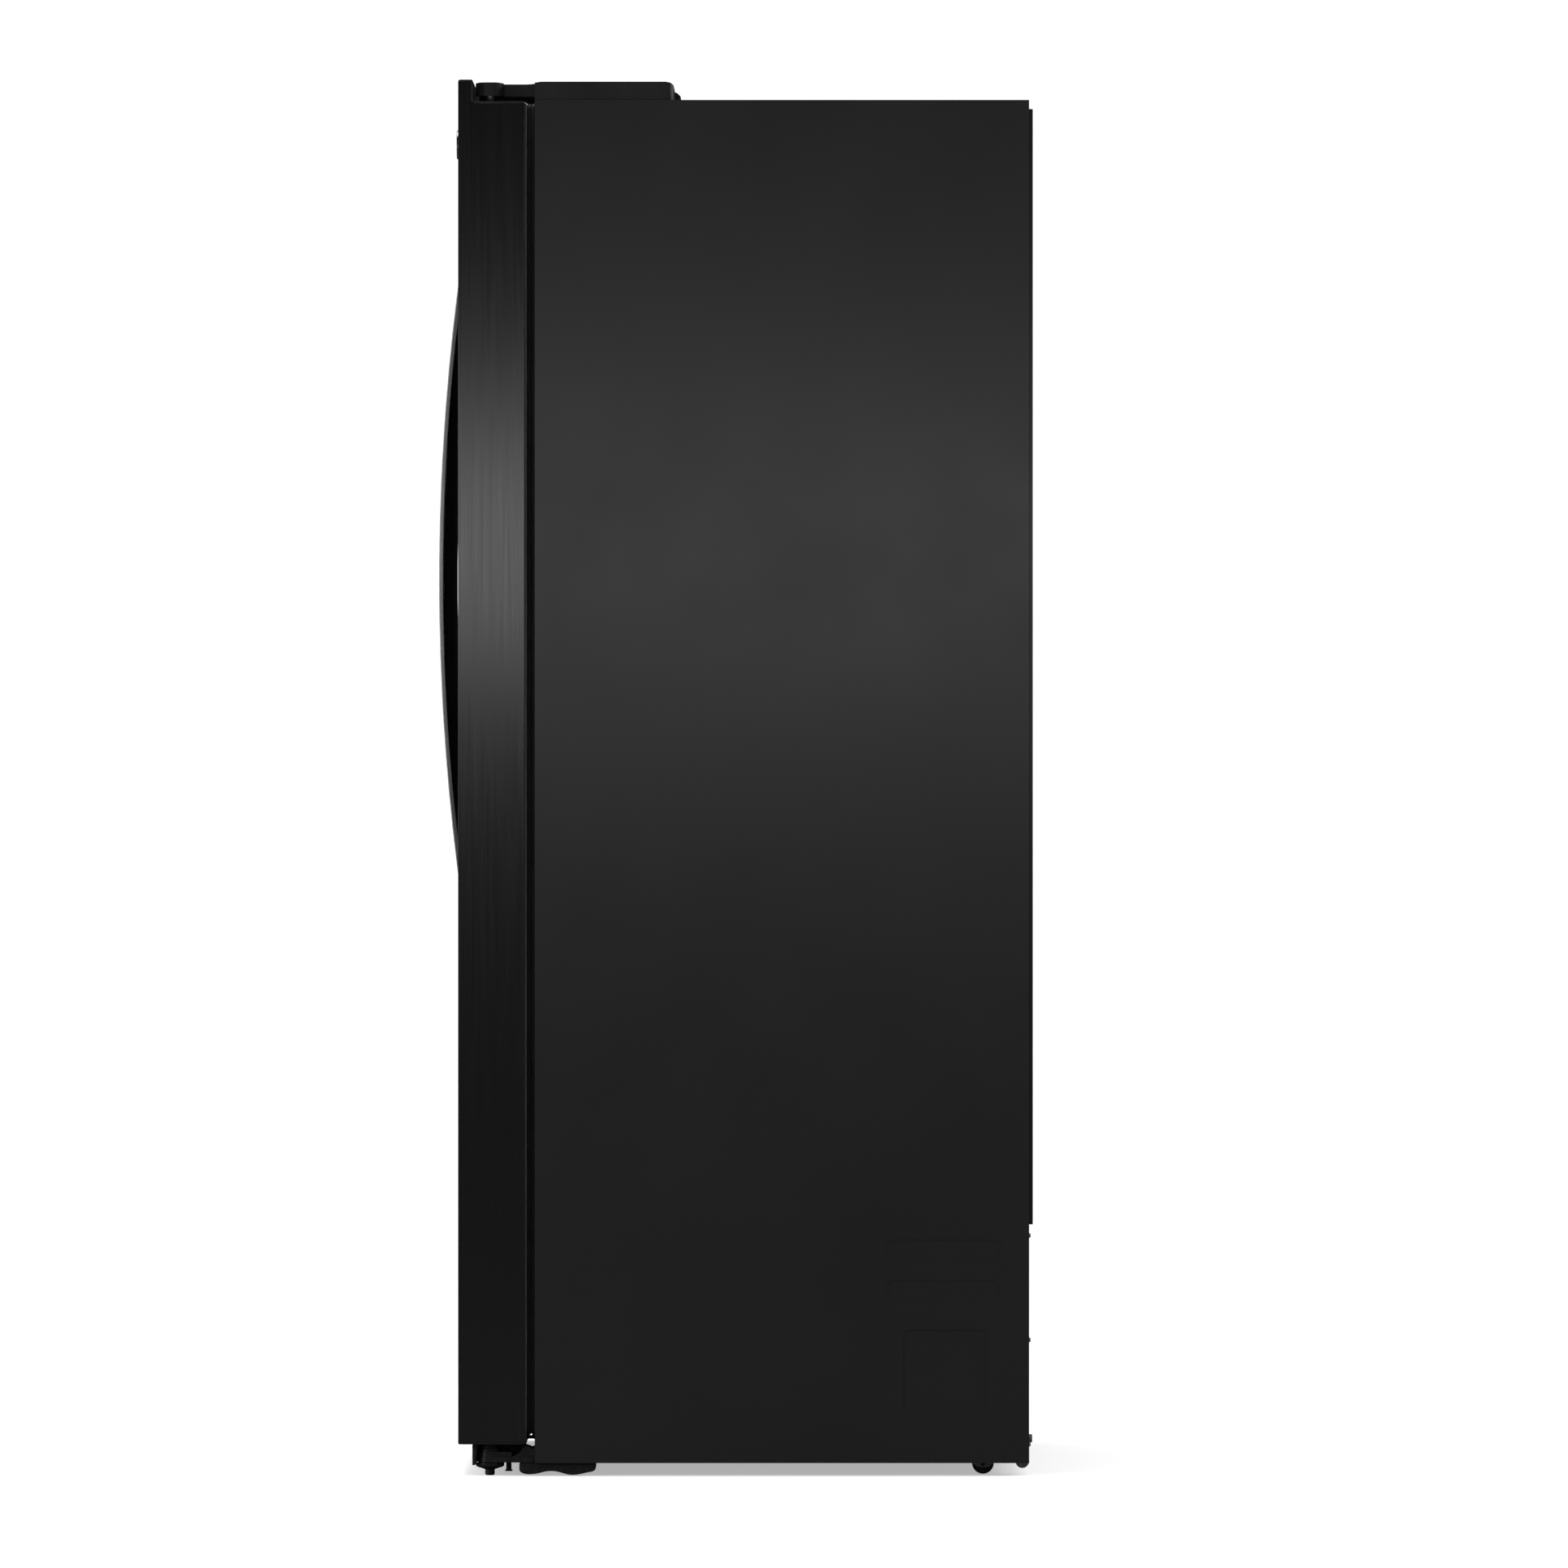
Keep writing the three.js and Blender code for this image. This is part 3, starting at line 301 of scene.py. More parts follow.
def screw_zinc():
    """Zinc plated screw heads."""
    s = Surface("screw_zinc", 0.35, 1.0)
    s.color(s.noise(0.002, 3), grey(0.4), grey(0.58))
    s.rough(s.noise(0.001, 3), 0.28, 0.45)
    return s.bump(s.noise(0.0005, 2), 0.00002, 0.4).material


def copper():
    """Copper pipe, unevenly tarnished."""
    s = Surface("copper", 0.3, 1.0)
    s.color(s.noise(0.01, 4), (0.55, 0.24, 0.13), (0.78, 0.4, 0.26))
    s.rough(s.noise(0.004, 3), 0.2, 0.42)
    return s.bump(s.noise(0.001, 2), 0.00002, 0.3).material


def lamp_lens():
    """Frosted diffuser of the inside lights."""
    s = Surface("lamp_lens", 0.45, Transmission_Weight=0.2)
    s.color(s.noise(0.02, 2), (0.9, 0.92, 0.94), (0.97, 0.98, 1.0))
    s.shader.inputs["Emission Color"].default_value = (1, 0.98, 0.95, 1)
    s.shader.inputs["Emission Strength"].default_value = 9.0
    s.rough(s.noise(0.01, 2), 0.4, 0.5)
    return s.bump(s.cells(0.002), 0.00005, 0.4).material


makers = [
    case_paint, door_steel, handle_steel, black_plastic, liner_plastic, clear_plastic,
    shelf_glass, gasket_rubber, wheel_plastic, zinc_steel, hinge_steel, machine_paint,
    foam, fin_aluminium, valve_body, panel_black, screw_zinc, copper, lamp_lens, matt_black,
]
looks = {make.__name__: make() for make in makers}


# ---------------------------------------------------------------- CAD nodes: edges and materials
def smooth_shading(data):
    data.polygons.foreach_set("use_smooth", [True] * len(data.polygons))


def soften(obj, width, segments=2, angle=35, merge_flats=True):
    """Rounds the edges of a faceted solid: flat areas merged, then a narrow bevel."""
    smooth_shading(obj.data)
    weld = obj.modifiers.new("weld", "WELD")
    weld.merge_threshold = 0.00001
    if merge_flats:
        flat = obj.modifiers.new("flat", "DECIMATE")
        flat.decimate_type = "DISSOLVE"
        flat.angle_limit = math.radians(0.6)
    bevel = obj.modifiers.new("bevel", "BEVEL")
    bevel.width = width
    bevel.segments = segments
    bevel.limit_method = "ANGLE"
    bevel.angle_limit = math.radians(angle)
    bevel.use_clamp_overlap = True
    normals = obj.modifiers.new("normals", "WEIGHTED_NORMAL")
    normals.mode = "FACE_AREA"
    normals.weight = 100


def paint_liner_rim_shade(obj):
    """Painted shade: the narrow outer edge of an inner door panel is made black, so the slot between door and
    case reads dark.
    """
    low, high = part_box(obj.name)
    shade_rim_width = 2 * MM
    # black on the white liner's rim is painted shade for the dark slot between door and case
    obj.data.materials.append(looks["black_plastic"])
    for face in obj.data.polygons:
        c = face.center
        edge = min(c.x - low.x, high.x - c.x, c.z - low.z, high.z - c.z)
        if edge < shade_rim_width:
            face.material_index = 1


def cover_foam_back():
    """The foam's rear faces are covered by the painted back sheet."""
    foam_block = frame["nodes"]["insulation_foam"]
    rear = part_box("insulation_foam")[1].y
    foam_block.data.materials.append(looks["case_paint"])
    for face in foam_block.data.polygons:
        if face.normal.y > 0.9 and face.center.y > rear - 1 * MM:
            face.material_index = 1


def dress_cad_nodes():
    """Every CAD node gets rounded edges and takes its slot's procedural material; the handle webs take matt
    black instead, as painted shade inside the grips.
    """
    wide = {"door_skin": 1.6, "hinge_cover": 1.6, "handle_grip": 1.4, "toe_grille": 0.7,
            "wire_cover": 1.5, "cabinet_wrapper": 0.7, "drawer": 1.5, "door_bin": 1.2,
            "dispenser_panel": 0.8, "rear_panel": 0.6, "liner": 1.5, "blank_badge": 0.6}
    for sub in frame["record"]["subparts"]:
        obj = frame["nodes"][sub["node"]]
        obj.data.materials.clear()
        # handle webs: dark plastic, made near black and dull as painted shade inside the grips
        look = "matt_black" if "handle_web" in sub["node"] else sub["material_slot"]
        obj.data.materials.append(looks[look])
        width = next((w for word, w in wide.items() if word in sub["node"]), 0.4)
        soften(obj, width * MM, merge_flats=sub["node"] not in ("freezer_liner", "fresh_food_liner"))


dress_cad_nodes()
cover_foam_back()
for door_side in ("right", "left"):
    paint_liner_rim_shade(frame["nodes"][f"{door_side}_door_liner"])


# ---------------------------------------------------------------- mesh helpers
def piece(name, verts, faces, look, body, replaces=(), smooth=True):
    """A new mesh piece in frame coordinates that rides on a CAD body."""
    data = bpy.data.meshes.new(name)
    data.from_pydata([tuple(v) for v in verts], [], faces)
    tidy = bmesh.new()
    tidy.from_mesh(data)
    bmesh.ops.recalc_face_normals(tidy, faces=tidy.faces)
    tidy.to_mesh(data)
    tidy.free()
    if smooth:
        smooth_shading(data)
        data.set_sharp_from_angle(angle=math.radians(32))
    data.materials.append(looks[look])
    obj = bpy.data.objects.new(name, data)
    bpy.context.scene.collection.objects.link(obj)
    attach(obj, body)
    if replaces:
        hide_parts(*replaces)
    return obj


class Mesh:
    """Collects several closed shapes into one vertex and face list."""

    def __init__(self):
        self.verts = []
        self.faces = []

    def add(self, verts, faces):
        start = len(self.verts)
        self.verts += [Vector(v) for v in verts]
        self.faces += [[start + i for i in face] for face in faces]

    def loops(self, rings, close_ends=True, closed_path=False):
        """Bridges rings of the same count: a tube, capped unless its path is closed."""
        n = len(rings[0])
        verts = [v for ring in rings for v in ring]
        faces = []
        spans = len(rings) if closed_path else len(rings) - 1
        for i in range(spans):
            a, b = i * n, ((i + 1) % len(rings)) * n
            for k in range(n):
                m = (k + 1) % n
                faces.append([a + k, a + m, b + m, b + k])
        if close_ends and not closed_path:
            faces.append(list(range(n))[::-1])
            faces.append([(len(rings) - 1) * n + k for k in range(n)])
        self.add(verts, faces)

    def turned(self, profile, centre, axis, sides=24, turn=0.0):
        """A body of revolution: profile is (radius, height) along axis; radii at the ends are above 0."""
        side = axis.orthogonal().normalized()
        other = axis.cross(side)
        rings = []
        for radius, height in profile:
            ring = []
            for k in range(sides):
                a = 2 * math.pi * k / sides + turn
                ring.append(centre + axis * height + (side * math.cos(a) + other * math.sin(a)) * radius)
            rings.append(ring)
        self.loops(rings)

    def plate(self, u, v, depth, radius, place, bevel=0.6 * MM):
        """A rounded plate with softened rims. u, v and depth are (low, high); place gives the point."""
        rings = []
        steps = ((bevel, depth[0]), (0, depth[0] + bevel), (0, depth[1] - bevel), (bevel, depth[1]))
        for inset, level in steps:
            outline = rounded_outline(u[0] + inset, v[0] + inset, u[1] - inset, v[1] - inset, radius - inset)
            rings.append([place(a, b, level) for a, b in outline])
        self.loops(rings)

    def frame(self, u, v, radius, section, place):
        """A closed rim around a rounded rectangle; section lists (inset, depth) around the rim."""
        rings = []
        for inset, level in section:
            outline = rounded_outline(u[0] + inset, v[0] + inset, u[1] - inset, v[1] - inset,
                                      max(radius - inset, 0.3 * MM), 8)
            rings.append([place(a, b, level) for a, b in outline])
        self.loops(rings, closed_path=True)

    def bar(self, profile, x0, x1):
        """A (y, z) profile drawn along X."""
        self.loops([[Vector((x, y, z)) for y, z in profile] for x in (x0, x1)])

    def tube(self, path, radius, sides=12):
        """A round tube through the path's points."""
        rings = []
        for i, point in enumerate(path):
            along = (path[min(i + 1, len(path) - 1)] - path[max(i - 1, 0)]).normalized()
            side = along.cross(X if abs(along.x) < 0.9 else Z).normalized()
            other = along.cross(side)
            turns = [2 * math.pi * k / sides for k in range(sides)]
            rings.append([point + (side * math.cos(t) + other * math.sin(t)) * radius for t in turns])
        self.loops(rings)


def rounded_outline(u0, v0, u1, v1, radius, steps=6):
    """Corner points of a rounded rectangle, counter-clockwise."""
    points = []
    for cu, cv, start in ((u1 - radius, v0 + radius, -90), (u1 - radius, v1 - radius, 0),
                          (u0 + radius, v1 - radius, 90), (u0 + radius, v0 + radius, 180)):
        for k in range(steps + 1):
            a = math.radians(start + 90 * k / steps)
            points.append((cu + radius * math.cos(a), cv + radius * math.sin(a)))
    return points


def facing_y(a, b, level):
    return Vector((a, level, b))


def facing_z(a, b, level):
    return Vector((a, b, level))


def soft_profile(y0, z0, y1, z1, radius=1 * MM):
    return rounded_outline(y0, z0, y1, z1, radius, 4)


# ---------------------------------------------------------------- gaskets
def gasket(side):
    """Magnetic gasket: a soft ring whose outer face folds into two bellows ribs."""
    node = f"{side}_door_gasket"
    low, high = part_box(node)
    depth = high.y - low.y
    # (inset from the outer edge, share of the depth) around the section
    section = [
        (1.2, 0.0), (1.8, 0.10), (2.0, 0.2), (1.3, 0.28), (0.5, 0.34), (0.3, 0.40), (0.5, 0.46),
        (1.4, 0.52), (1.9, 0.58), (1.4, 0.64), (0.5, 0.70), (0.1, 0.77), (0.0, 0.84), (0.2, 0.94),
        (1.2, 1.0), (13.8, 1.0), (15.0, 0.94), (15.2, 0.84), (14.6, 0.7), (13.2, 0.6), (13.6, 0.5),
        (14.6, 0.38), (13.6, 0.24), (12.6, 0.12), (13.4, 0.0),
    ]
    mesh = Mesh()
    rim = [(inset * MM, low.y + depth * share) for inset, share in section]
    mesh.frame((low.x, high.x), (low.z, high.z), 6 * MM, rim, facing_y)
    piece(f"{side}_gasket_bellows", mesh.verts, mesh.faces, "gasket_rubber", f"{side}_door", [node])


for side in ("right", "left"):
    gasket(side)


# ---------------------------------------------------------------- screws
def hex_screw(mesh, centre, axis, r):
    """Hexagon head with its washer flange, r across the head."""
    mesh.turned([(r * 0.9, -0.1 * r), (r * 1.25, 0), (r * 1.25, 0.12 * r), (r * 1.1, 0.2 * r)], centre, axis)
    mesh.turned([(r * 0.86, 0.1 * r), (r * 0.86, 0.65 * r), (r * 0.72, 0.75 * r), (r * 0.3, 0.75 * r),
                 (r * 0.2, 0.65 * r)], centre, axis, sides=6)


def pan_screw(mesh, centre, axis, r):
    """Low domed head with a square drive recess."""
    mesh.turned([(r, -0.05 * r), (r, 0.08 * r), (r * 0.85, 0.2 * r), (r * 0.5, 0.27 * r),
                 (r * 0.3, 0.28 * r)], centre, axis)
    mesh.turned([(r * 0.28, 0.281 * r), (r * 0.26, 0.284 * r)], centre, axis, sides=4)


def screws(name, places, axis, body="cabinet", radius=3 * MM, look="screw_zinc", head=hex_screw):
    mesh = Mesh()
    for place in places:
        head(mesh, Vector(place), axis, radius)
    piece(name, mesh.verts, mesh.faces, look, body, smooth=False)


def add_screws():
    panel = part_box("rear_panel")
    groove_floor = panel[1].y - 1.2 * MM
    lowest_groove, groove_pitch = 577, 300
    grooves = [(lowest_groove + groove_pitch * i) * MM for i in range(4)]
    places = [(x, groove_floor, z) for z in grooves for x in (-0.3, 0, 0.3)]
    screws("rear_panel_screws", places, Y, radius=4 * MM, head=pan_screw)
    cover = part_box("compressor_cover")
    row_inset = 0.012
    rows = (cover[0].z + row_inset, (cover[0].z + cover[1].z) / 2, cover[1].z - row_inset)
    places = [(x, cover[1].y, z) for z in rows for x in (-0.44, 0.44)]
    places += [(x, cover[1].y, rows[2]) for x in (-0.22, 0.0, 0.22)]
    screws("rear_cover_screws", places, Y)
    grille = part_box("toe_grille")
    places = [(x, grille[0].y, grille[0].z + 16 * MM) for x in (-0.3, 0.0, 0.3)]
    screws("toe_grille_screws", places, -Y, look="matt_black", head=pan_screw)
    for side in (-1, 1):
        hinge = "right" if side > 0 else "left"
        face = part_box(f"lower_hinge_{hinge}")[1].y - 3 * MM
        places = [(side * x, face, 0.027) for x in (0.378, 0.402)]
        screws(f"lower_hinge_screws_{hinge}", places, -Y, radius=4 * MM, look="hinge_steel")


add_screws()


# ---------------------------------------------------------------- inside the compartments
def shelf(node):
    """Glass plate in a white front trim and a rear rail, in place of the plain solid."""
    low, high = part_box(node)
    under, over = low.z + 8 * MM, low.z + 12 * MM
    glass = Mesh()
    glass.plate((low.x + 3 * MM, high.x - 3 * MM), (low.y + 5 * MM, high.y - 9 * MM), (under, over),
                4 * MM, facing_z)
    piece(f"{node}_glass", glass.verts, glass.faces, "shelf_glass", "cabinet", [node])
    trim = Mesh()
    for y0, y1, top in ((low.y, low.y + 9 * MM, 18 * MM), (high.y - 13 * MM, high.y - 1 * MM, 22 * MM)):
        trim.bar(soft_profile(y0, low.z, y1, under - 0.1 * MM, 2 * MM), low.x, high.x)
        trim.bar(soft_profile(y0, over + 0.1 * MM, y1, low.z + top, 2 * MM), low.x, high.x)
    for x0, x1 in ((low.x, low.x + 2.6 * MM), (high.x - 2.6 * MM, high.x)):
        side_rail = soft_profile(low.y + 2 * MM, low.z + 5 * MM, high.y - 4 * MM, low.z + 15 * MM, 2 * MM)
        trim.bar(side_rail, x0, x1)
    piece(f"{node}_trim", trim.verts, trim.faces, "liner_plastic", "cabinet")


def vent_panel(name, x, z, rear, slats):
    """Air outlet on a compartment's back wall: a raised frame with slats over a thin black plate, painted
    shade for the dark opening behind them.
    """
    front = rear - 8 * MM
    cover = Mesh()
    rim = [(0, rear), (0, front + 2 * MM), (2 * MM, front), (13 * MM, front), (14 * MM, front + MM),
           (14 * MM, rear)]
    cover.frame(x, z, 10 * MM, rim, facing_y)
    pitch = (z[1] - z[0] - 36 * MM) / slats
    for i in range(slats):
        bottom = z[0] + 18 * MM + i * pitch
        profile = [(front + 1 * MM, bottom), (front + 2 * MM, bottom), (rear - 1 * MM, bottom + pitch * 0.5),
                   (rear - 2 * MM, bottom + pitch * 0.55)]
        cover.bar(profile, x[0] + 12 * MM, x[1] - 12 * MM)
    piece(name, cover.verts, cover.faces, "liner_plastic", "cabinet")
    # a thin black plate on the back wall, painted shade seen through the slats
    shade_plate = Mesh()
    shade_plate.plate((x[0] + 11 * MM, x[1] - 11 * MM), (z[0] + 11 * MM, z[1] - 11 * MM), (rear - 0.8 * MM, rear),
               4 * MM, facing_y, 0.2 * MM)
    piece(f"{name}_duct", shade_plate.verts, shade_plate.faces, "matt_black", "cabinet")


def ceiling_lamp(name, x, ceiling):
    """Frosted lamp on the compartment's ceiling in a white bezel."""
    y = (-0.16, -0.06)
    bezel = Mesh()
    rim = [(0, ceiling), (0, ceiling - 3 * MM), (2 * MM, ceiling - 5 * MM), (7 * MM, ceiling - 5 * MM),
           (8 * MM, ceiling - 3 * MM), (8 * MM, ceiling)]
    bezel.frame(x, y, 10 * MM, rim, facing_z)
    piece(f"{name}_bezel", bezel.verts, bezel.faces, "liner_plastic", "cabinet")
    lens = Mesh()
    lens.plate((x[0] + 8 * MM, x[1] - 8 * MM), (y[0] + 8 * MM, y[1] - 8 * MM), (ceiling - 3.6 * MM, ceiling),
               3 * MM, facing_z)
    piece(f"{name}_lens", lens.verts, lens.faces, "lamp_lens", "cabinet")


def control_box(name, x, ceiling):
    """Temperature controls under the ceiling: a white housing with two unmarked dials."""
    body = Mesh()
    body.plate(x, (0.0, 0.12), (ceiling - 42 * MM, ceiling), 8 * MM, facing_z, 2 * MM)
    piece(name, body.verts, body.faces, "liner_plastic", "cabinet")
    dials = Mesh()
    for share in (0.3, 0.7):
        centre = Vector((x[0] + (x[1] - x[0]) * share, 0.0, ceiling - 21 * MM))
        knob = [(14 * MM, -1 * MM), (14 * MM, 4 * MM), (12 * MM, 8 * MM), (3 * MM, 8.6 * MM)]
        dials.turned(knob, centre, -Y, 32)
    piece(f"{name}_dials", dials.verts, dials.faces, "wheel_plastic", "cabinet")


def drawer_trim(node, body):
    """White bands along the top and the bottom of a drawer's front."""
    low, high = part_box(node)
    face = low.y + 10 * MM
    inset = 6 * MM
    band = Mesh()
    for bottom, top in ((high.z - 22 * MM, high.z - 17 * MM), (low.z + 6 * MM, low.z + 11 * MM)):
        band.bar(soft_profile(face - 3 * MM, bottom, face - 0.1 * MM, top), low.x + inset, high.x - inset)
    piece(f"{node}_trim", band.verts, band.faces, "liner_plastic", body)


def furnish():
    """Shelves, air outlets, lamps, controls and drawer trims of both compartments."""
    for node in ("freezer_shelf_1", "freezer_shelf_2", "fresh_food_shelf_1", "fresh_food_shelf_2"):
        shelf(node)
    wall = 2.5 * MM
    frozen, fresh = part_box("freezer_liner"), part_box("fresh_food_liner")
    rear, ceiling = frozen[1].y - wall, frozen[1].z - wall
    vent_panel("freezer_air_panel", (frozen[0].x + 0.07, frozen[1].x - 0.07), (1.225, 1.5), rear, 7)
    vent_panel("fresh_food_air_panel", (fresh[0].x + 0.14, fresh[1].x - 0.14), (1.34, 1.52), rear, 5)
    ceiling_lamp("freezer_lamp", (frozen[0].x + 0.09, frozen[1].x - 0.09), ceiling)
    ceiling_lamp("fresh_food_lamp", (fresh[0].x + 0.12, fresh[1].x - 0.12), ceiling)
    control_box("temperature_controls", (fresh[0].x + 0.1, fresh[1].x - 0.1), ceiling)
    drawer_trim("freezer_drawer", "freezer_basket")
    drawer_trim("crisper_drawer_upper", "crisper_upper")
    drawer_trim("crisper_drawer_lower", "crisper_lower")


furnish()


# ---------------------------------------------------------------- dispenser and badge
def dispenser_frame(low, high):
    """Steel trim around the dispenser's front panel."""
    wide = 4 * MM
    trim = Mesh()
    rim = [(0, high.y), (0, low.y), (0.8 * MM, low.y - 0.9 * MM), (3.0 * MM, low.y - 0.9 * MM),
           (3.7 * MM, low.y), (3.7 * MM, high.y)]
    trim.frame((low.x - wide, high.x + wide), (low.z - wide, high.z + wide), 14 * MM, rim, facing_y)
    piece("dispenser_trim", trim.verts, trim.faces, "handle_steel", "left_door")


def dispenser_controls(middle, face):
    """Dark display window over a row of five unmarked touch pads."""
    window = Mesh()
    window.plate((middle - 0.075, middle + 0.075), (1.315, 1.385), (face - 0.5 * MM, face + 0.5 * MM),
                 6 * MM, facing_y, 0.3 * MM)
    piece("display_window", window.verts, window.faces, "panel_black", "left_door")
    pads = Mesh()
    pad_count, pitch, pad_half = 5, 0.042, 0.014
    for i in range(pad_count):
        x = middle - 0.084 + i * pitch
        pads.plate((x - pad_half, x + pad_half), (1.252, 1.280), (face - 0.6 * MM, face + 0.4 * MM),
                   5 * MM, facing_y, 0.3 * MM)
    piece("touch_pads", pads.verts, pads.faces, "wheel_plastic", "left_door")


def dispenser_outlets(middle):
    """Ice chute ring with the water nozzle in front of it, and the lamp beside them."""
    spout = Mesh()
    chute = Vector((middle, -0.318, 1.180))
    chute_ring = [(18 * MM, 1 * MM), (18.6 * MM, -1 * MM), (18.6 * MM, -4 * MM), (17 * MM, -6 * MM),
                  (14 * MM, -6 * MM), (13 * MM, -2 * MM)]
    spout.turned(chute_ring, chute, Z, 40)
    nozzle = [(4.5 * MM, 0), (4.5 * MM, -9 * MM), (3.5 * MM, -11 * MM), (2.5 * MM, -11 * MM)]
    spout.turned(nozzle, chute + Vector((0.0, -0.0075, 0)), Z, 20)
    piece("dispenser_spout", spout.verts, spout.faces, "wheel_plastic", "left_door")
    lens = Mesh()
    lens.plate((middle + 0.045, middle + 0.085), (-0.335, -0.315), (1.2125, 1.2149),
               4 * MM, facing_z, 0.5 * MM)
    piece("dispenser_lamp", lens.verts, lens.faces, "lamp_lens", "left_door")


def dress_dispenser():
    low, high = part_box("dispenser_panel")
    middle = (low.x + high.x) / 2
    dispenser_frame(low, high)
    dispenser_controls(middle, low.y)
    dispenser_outlets(middle)


def dress_badge():
    """Plain disc with a raised rim and a shallow dome."""
    low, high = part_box("blank_badge")
    centre = Vector(((low.x + high.x) / 2, high.y, (low.z + high.z) / 2))
    r = (high.x - low.x) / 2
    badge = Mesh()
    badge.turned([(r, 0), (r, 1.6 * MM), (r - 0.6 * MM, 2.3 * MM), (r - 1.8 * MM, 2.3 * MM),
                  (r - 2.3 * MM, 1.7 * MM), (r * 0.7, 1.9 * MM), (r * 0.35, 2.05 * MM), (0.3 * MM, 2.1 * MM)],
                 centre, -Y, 64)
    piece("badge_disc", badge.verts, badge.faces, "handle_steel", "right_door", ["blank_badge"])


dress_dispenser()
dress_badge()


# ---------------------------------------------------------------- underside and machine compartment
def front_rollers(side):
    """Two small rollers between the shield's plates, clear of the floor until the legs are raised."""
    hinge = "right" if side > 0 else "left"
    axle, tread, rim = 1.6 * MM, 5.8 * MM, 5.2 * MM
    profile = [(axle, -17 * MM), (axle, -14 * MM), (rim, -14 * MM), (tread, -13 * MM),
               (tread, 13 * MM), (rim, 14 * MM), (axle, 14 * MM), (axle, 17 * MM)]
    wheels = Mesh()
    for y in (-0.257, -0.203):
        wheels.turned(profile, Vector((side * 0.4285, y, 0.0078)), X, 24)
    piece(f"front_rollers_{hinge}", wheels.verts, wheels.faces, "wheel_plastic", "cabinet")


def arc(centre, radius, start, end, steps, plane):
    """Points on an arc; plane gives the two unit directions that it lies in."""
    points = []
    for k in range(steps + 1):
        a = math.radians(start + (end - start) * k / steps)
        points.append(centre + plane[0] * radius * math.cos(a) + plane[1] * radius * math.sin(a))
    return points


def refrigerant_pipes():
    """Copper pipes from the compressor to the condenser and up towards the base plate."""
    pipes = Mesh()
    pipe_radius = 3 * MM
    start = Vector((-0.100, 0.255, 0.110))
    bend = arc(Vector((-0.06, 0.255, 0.110)), 0.03, 180, 270, 8, (X, Z))
    to_condenser = [Vector((0.02, 0.255, 0.08)), Vector((0.03, 0.235, 0.08))]
    pipes.tube([start] + bend[1:] + to_condenser, pipe_radius)
    foot = Vector((-0.235, 0.23, 0.13))
    rise = arc(Vector((-0.215, 0.23, 0.20)), 0.02, 180, 90, 6, (X, Z))
    to_base_plate = [Vector((-0.16, 0.23, 0.22)), Vector((-0.15, 0.23, 0.305))]
    pipes.tube([foot] + rise + to_base_plate, pipe_radius)
    piece("refrigerant_pipes", pipes.verts, pipes.faces, "copper", "cabinet")


def grille_shade_sheet():
    """Black sheet close behind the toe grille's slots, along the strip's leaning rear face: painted shade, so
    the slots read dark.
    """
    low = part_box("toe_grille")[0]
    reach, thick, clearance = 400 * MM, 0.5 * MM, 0.1 * MM
    strip_foot = 3.5 * MM  # thickness of the strip at its bottom edge
    lean = 3 / 26
    sheet = Mesh()
    edge = []
    for z in (low.z + 1 * MM, low.z + 12 * MM):
        rear_face = low.y + strip_foot + (z - low.z) * lean
        edge.append((rear_face + clearance, z))
    # the sheet is painted shade standing in for the dark space behind the grille
    sheet.bar(edge + [(y + thick, z) for y, z in reversed(edge)], -reach, reach)
    piece("toe_grille_screen", sheet.verts, sheet.faces, "matt_black", "cabinet")


def air_filter():
    """Ribbed filter pad between the base frame's open bay and the machine compartment."""
    pad = Mesh()
    ribs = 20
    span, rear = 0.4, 112 * MM
    height = (14 * MM, 56.5 * MM)
    pitch = 2 * span / ribs
    for i in range(ribs):
        x = -span + i * pitch
        pad.plate((x, x + pitch - 1 * MM), height, (rear - 5 * MM, rear), 2 * MM, facing_y, 1.5 * MM)
    pad.plate((-span, span), height, (rear - 3.5 * MM, rear - 2.5 * MM), 1 * MM, facing_y, 0.2 * MM)
    piece("air_filter", pad.verts, pad.faces, "matt_black", "cabinet")


for side in (-1, 1):
    front_rollers(side)
refrigerant_pipes()
air_filter()
grille_shade_sheet()


# ---------------------------------------------------------------- stage and light
def floor_material():
    """Near white to the camera, and a duller grey in reflections and bounced light."""
    s = Surface("floor", 0.8)
    s.color(s.noise(0.5, 3), grey(0.88), grey(0.9))
    s.shader.inputs["Emission Color"].default_value = (1, 1, 1, 1)
    s.shader.inputs["Emission Strength"].default_value = 0.42
    dull = s.node("ShaderNodeBsdfDiffuse", Color=(0.08, 0.08, 0.08, 1))
    path = s.node("ShaderNodeLightPath")
    mix = s.node("ShaderNodeMixShader")
    s.link(path.outputs["Is Camera Ray"], mix.inputs["Fac"])
    s.link(dull.outputs[0], mix.inputs[1])
    s.link(s.shader.outputs[0], mix.inputs[2])
    s.link(mix.outputs[0], s.tree.nodes["Material Output"].inputs["Surface"])
    return s.material


def add_floor():
    size = 60
    corners = [(-size, -size, 0), (size, -size, 0), (size, size, 0), (-size, size, 0)]
    data = bpy.data.meshes.new("floor")
    data.from_pydata(corners, [], [[0, 1, 2, 3]])
    data.materials.append(floor_material())
    floor = bpy.data.objects.new("floor", data)
    bpy.context.scene.collection.objects.link(floor)


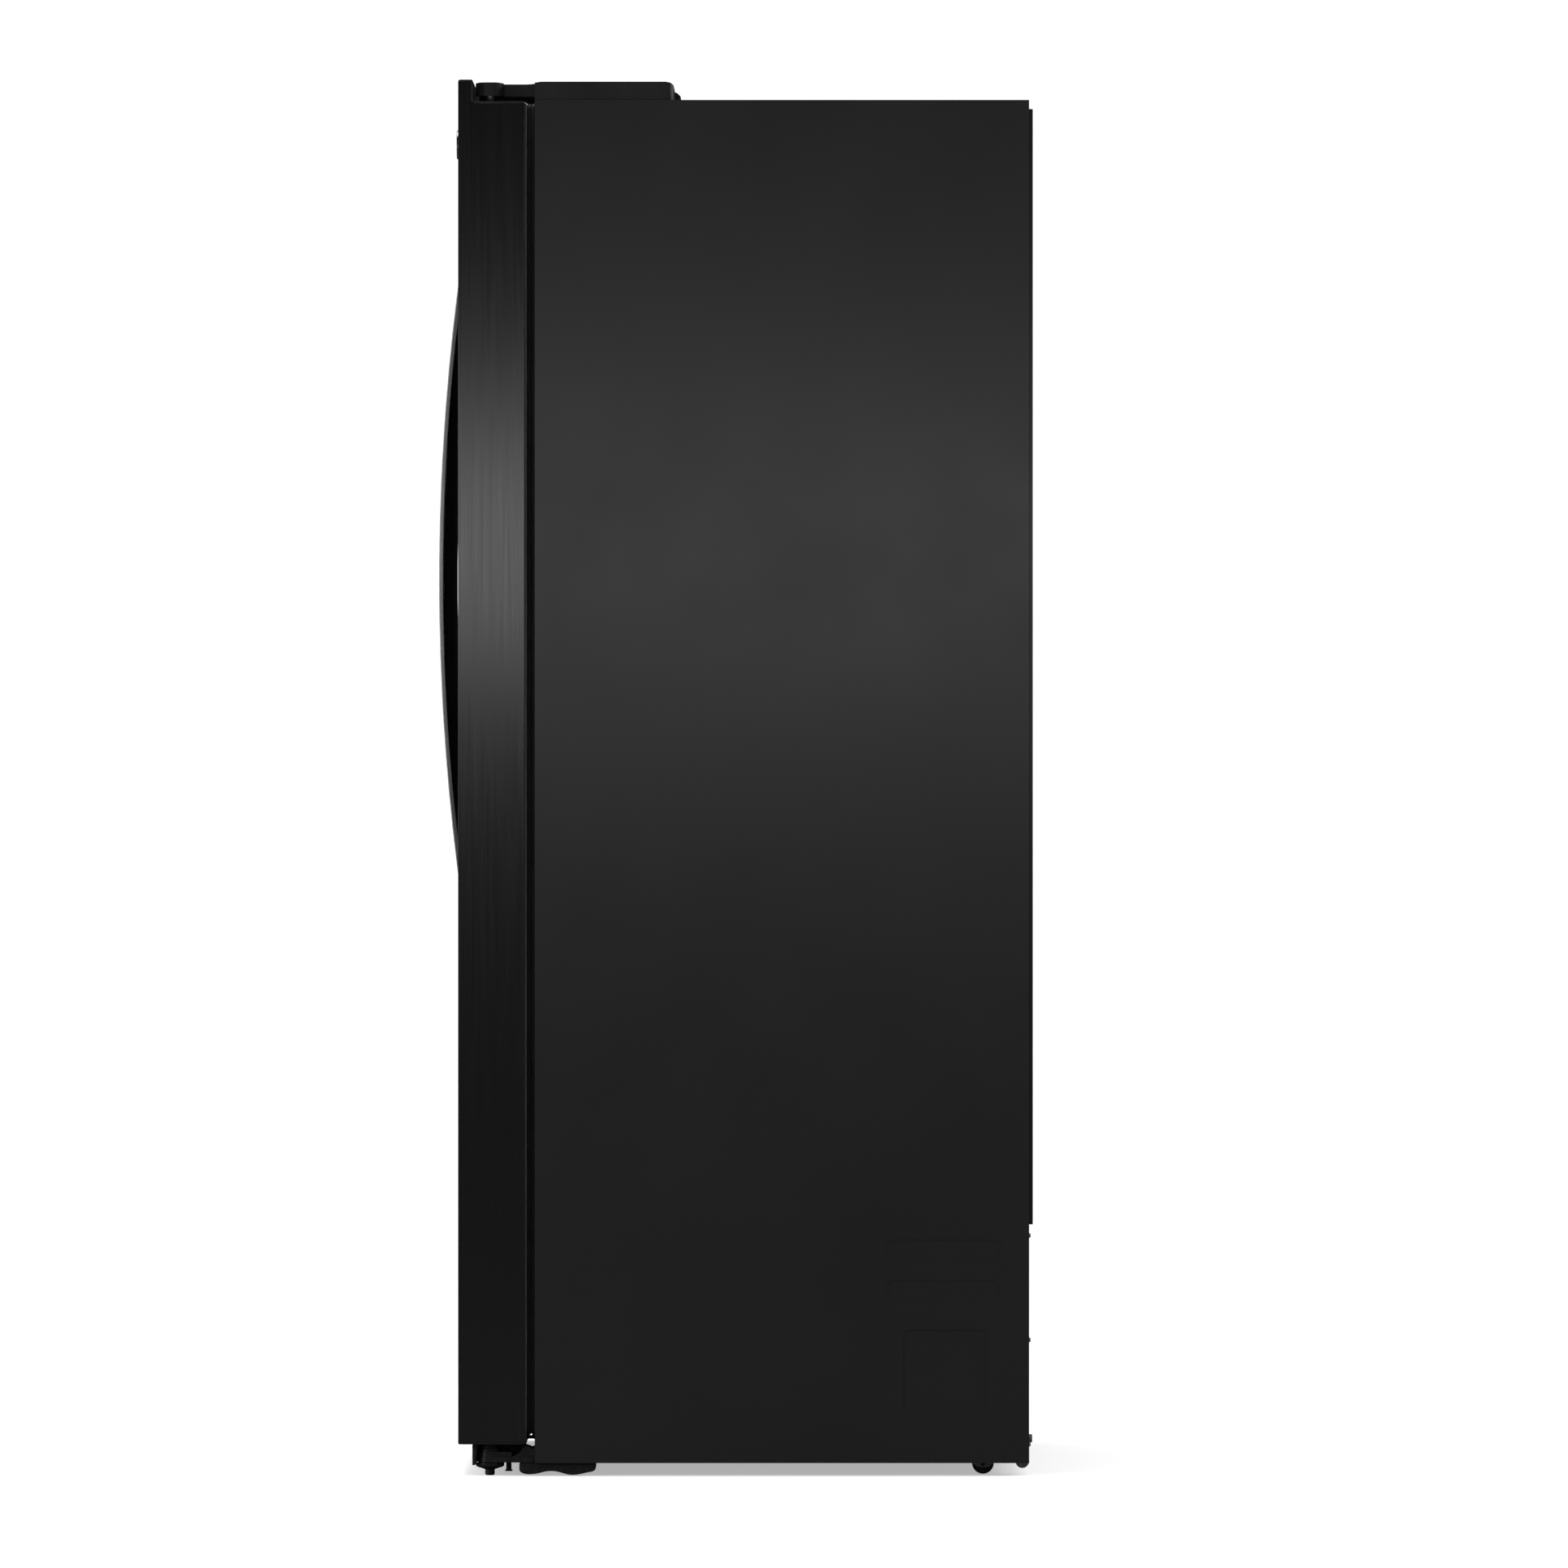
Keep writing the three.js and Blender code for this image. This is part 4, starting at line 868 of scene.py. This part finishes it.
def add_world():
    """White to the camera, a soft even fill for matt surfaces, and nearly dark in reflections."""
    world = bpy.data.worlds.new("studio")
    world.use_nodes = True
    bpy.context.scene.world = world
    tree = world.node_tree
    tree.nodes.clear()
    path = tree.nodes.new("ShaderNodeLightPath")
    output = tree.nodes.new("ShaderNodeOutputWorld")
    shades = {}
    for name, level in (("camera", 1.1), ("matt", 0.85), ("gloss", 0.01)):
        shades[name] = tree.nodes.new("ShaderNodeBackground")
        shades[name].inputs["Strength"].default_value = level
        shades[name].inputs["Color"].default_value = (1, 1, 1, 1)
    inner = tree.nodes.new("ShaderNodeMixShader")
    outer = tree.nodes.new("ShaderNodeMixShader")
    tree.links.new(path.outputs["Is Glossy Ray"], inner.inputs["Fac"])
    tree.links.new(shades["matt"].outputs[0], inner.inputs[1])
    tree.links.new(shades["gloss"].outputs[0], inner.inputs[2])
    tree.links.new(path.outputs["Is Camera Ray"], outer.inputs["Fac"])
    tree.links.new(inner.outputs[0], outer.inputs[1])
    tree.links.new(shades["camera"].outputs[0], outer.inputs[2])
    tree.links.new(outer.outputs[0], output.inputs["Surface"])


def softbox(name, place, target, width, height, power):
    """An area lamp at place that faces target and stays unseen by the camera."""
    data = bpy.data.lights.new(name, "AREA")
    data.shape = "RECTANGLE"
    data.size = width
    data.size_y = height
    data.energy = power
    light = bpy.data.objects.new(name, data)
    light.location = place
    light.rotation_euler = (Vector(target) - Vector(place)).to_track_quat("-Z", "Y").to_euler()
    light.visible_camera = False
    bpy.context.scene.collection.objects.link(light)


add_floor()
add_world()
softbox("side_right", (2.7, 0.0, 1.235), (0, 0, 1.235), 2.2, 0.3, 2.8)
softbox("side_left", (-2.7, 0.0, 1.235), (0, 0, 1.235), 2.2, 0.3, 4)
softbox("front_left", (-1.5, -4.2, 1.4), (-0.2, 0, 1.0), 1.5, 2.4, 55)
softbox("front_right", (2.4, -3.6, 1.4), (0.2, 0, 1.0), 1.2, 2.2, 38)
softbox("back", (0.5, 4.0, 1.8), (0, 0, 1.0), 1.6, 1.6, 60)
softbox("top", (0.0, -0.6, 3.6), (0, 0, 1.0), 2.0, 1.4, 40)
bpy.context.scene.view_settings.view_transform = "Standard"
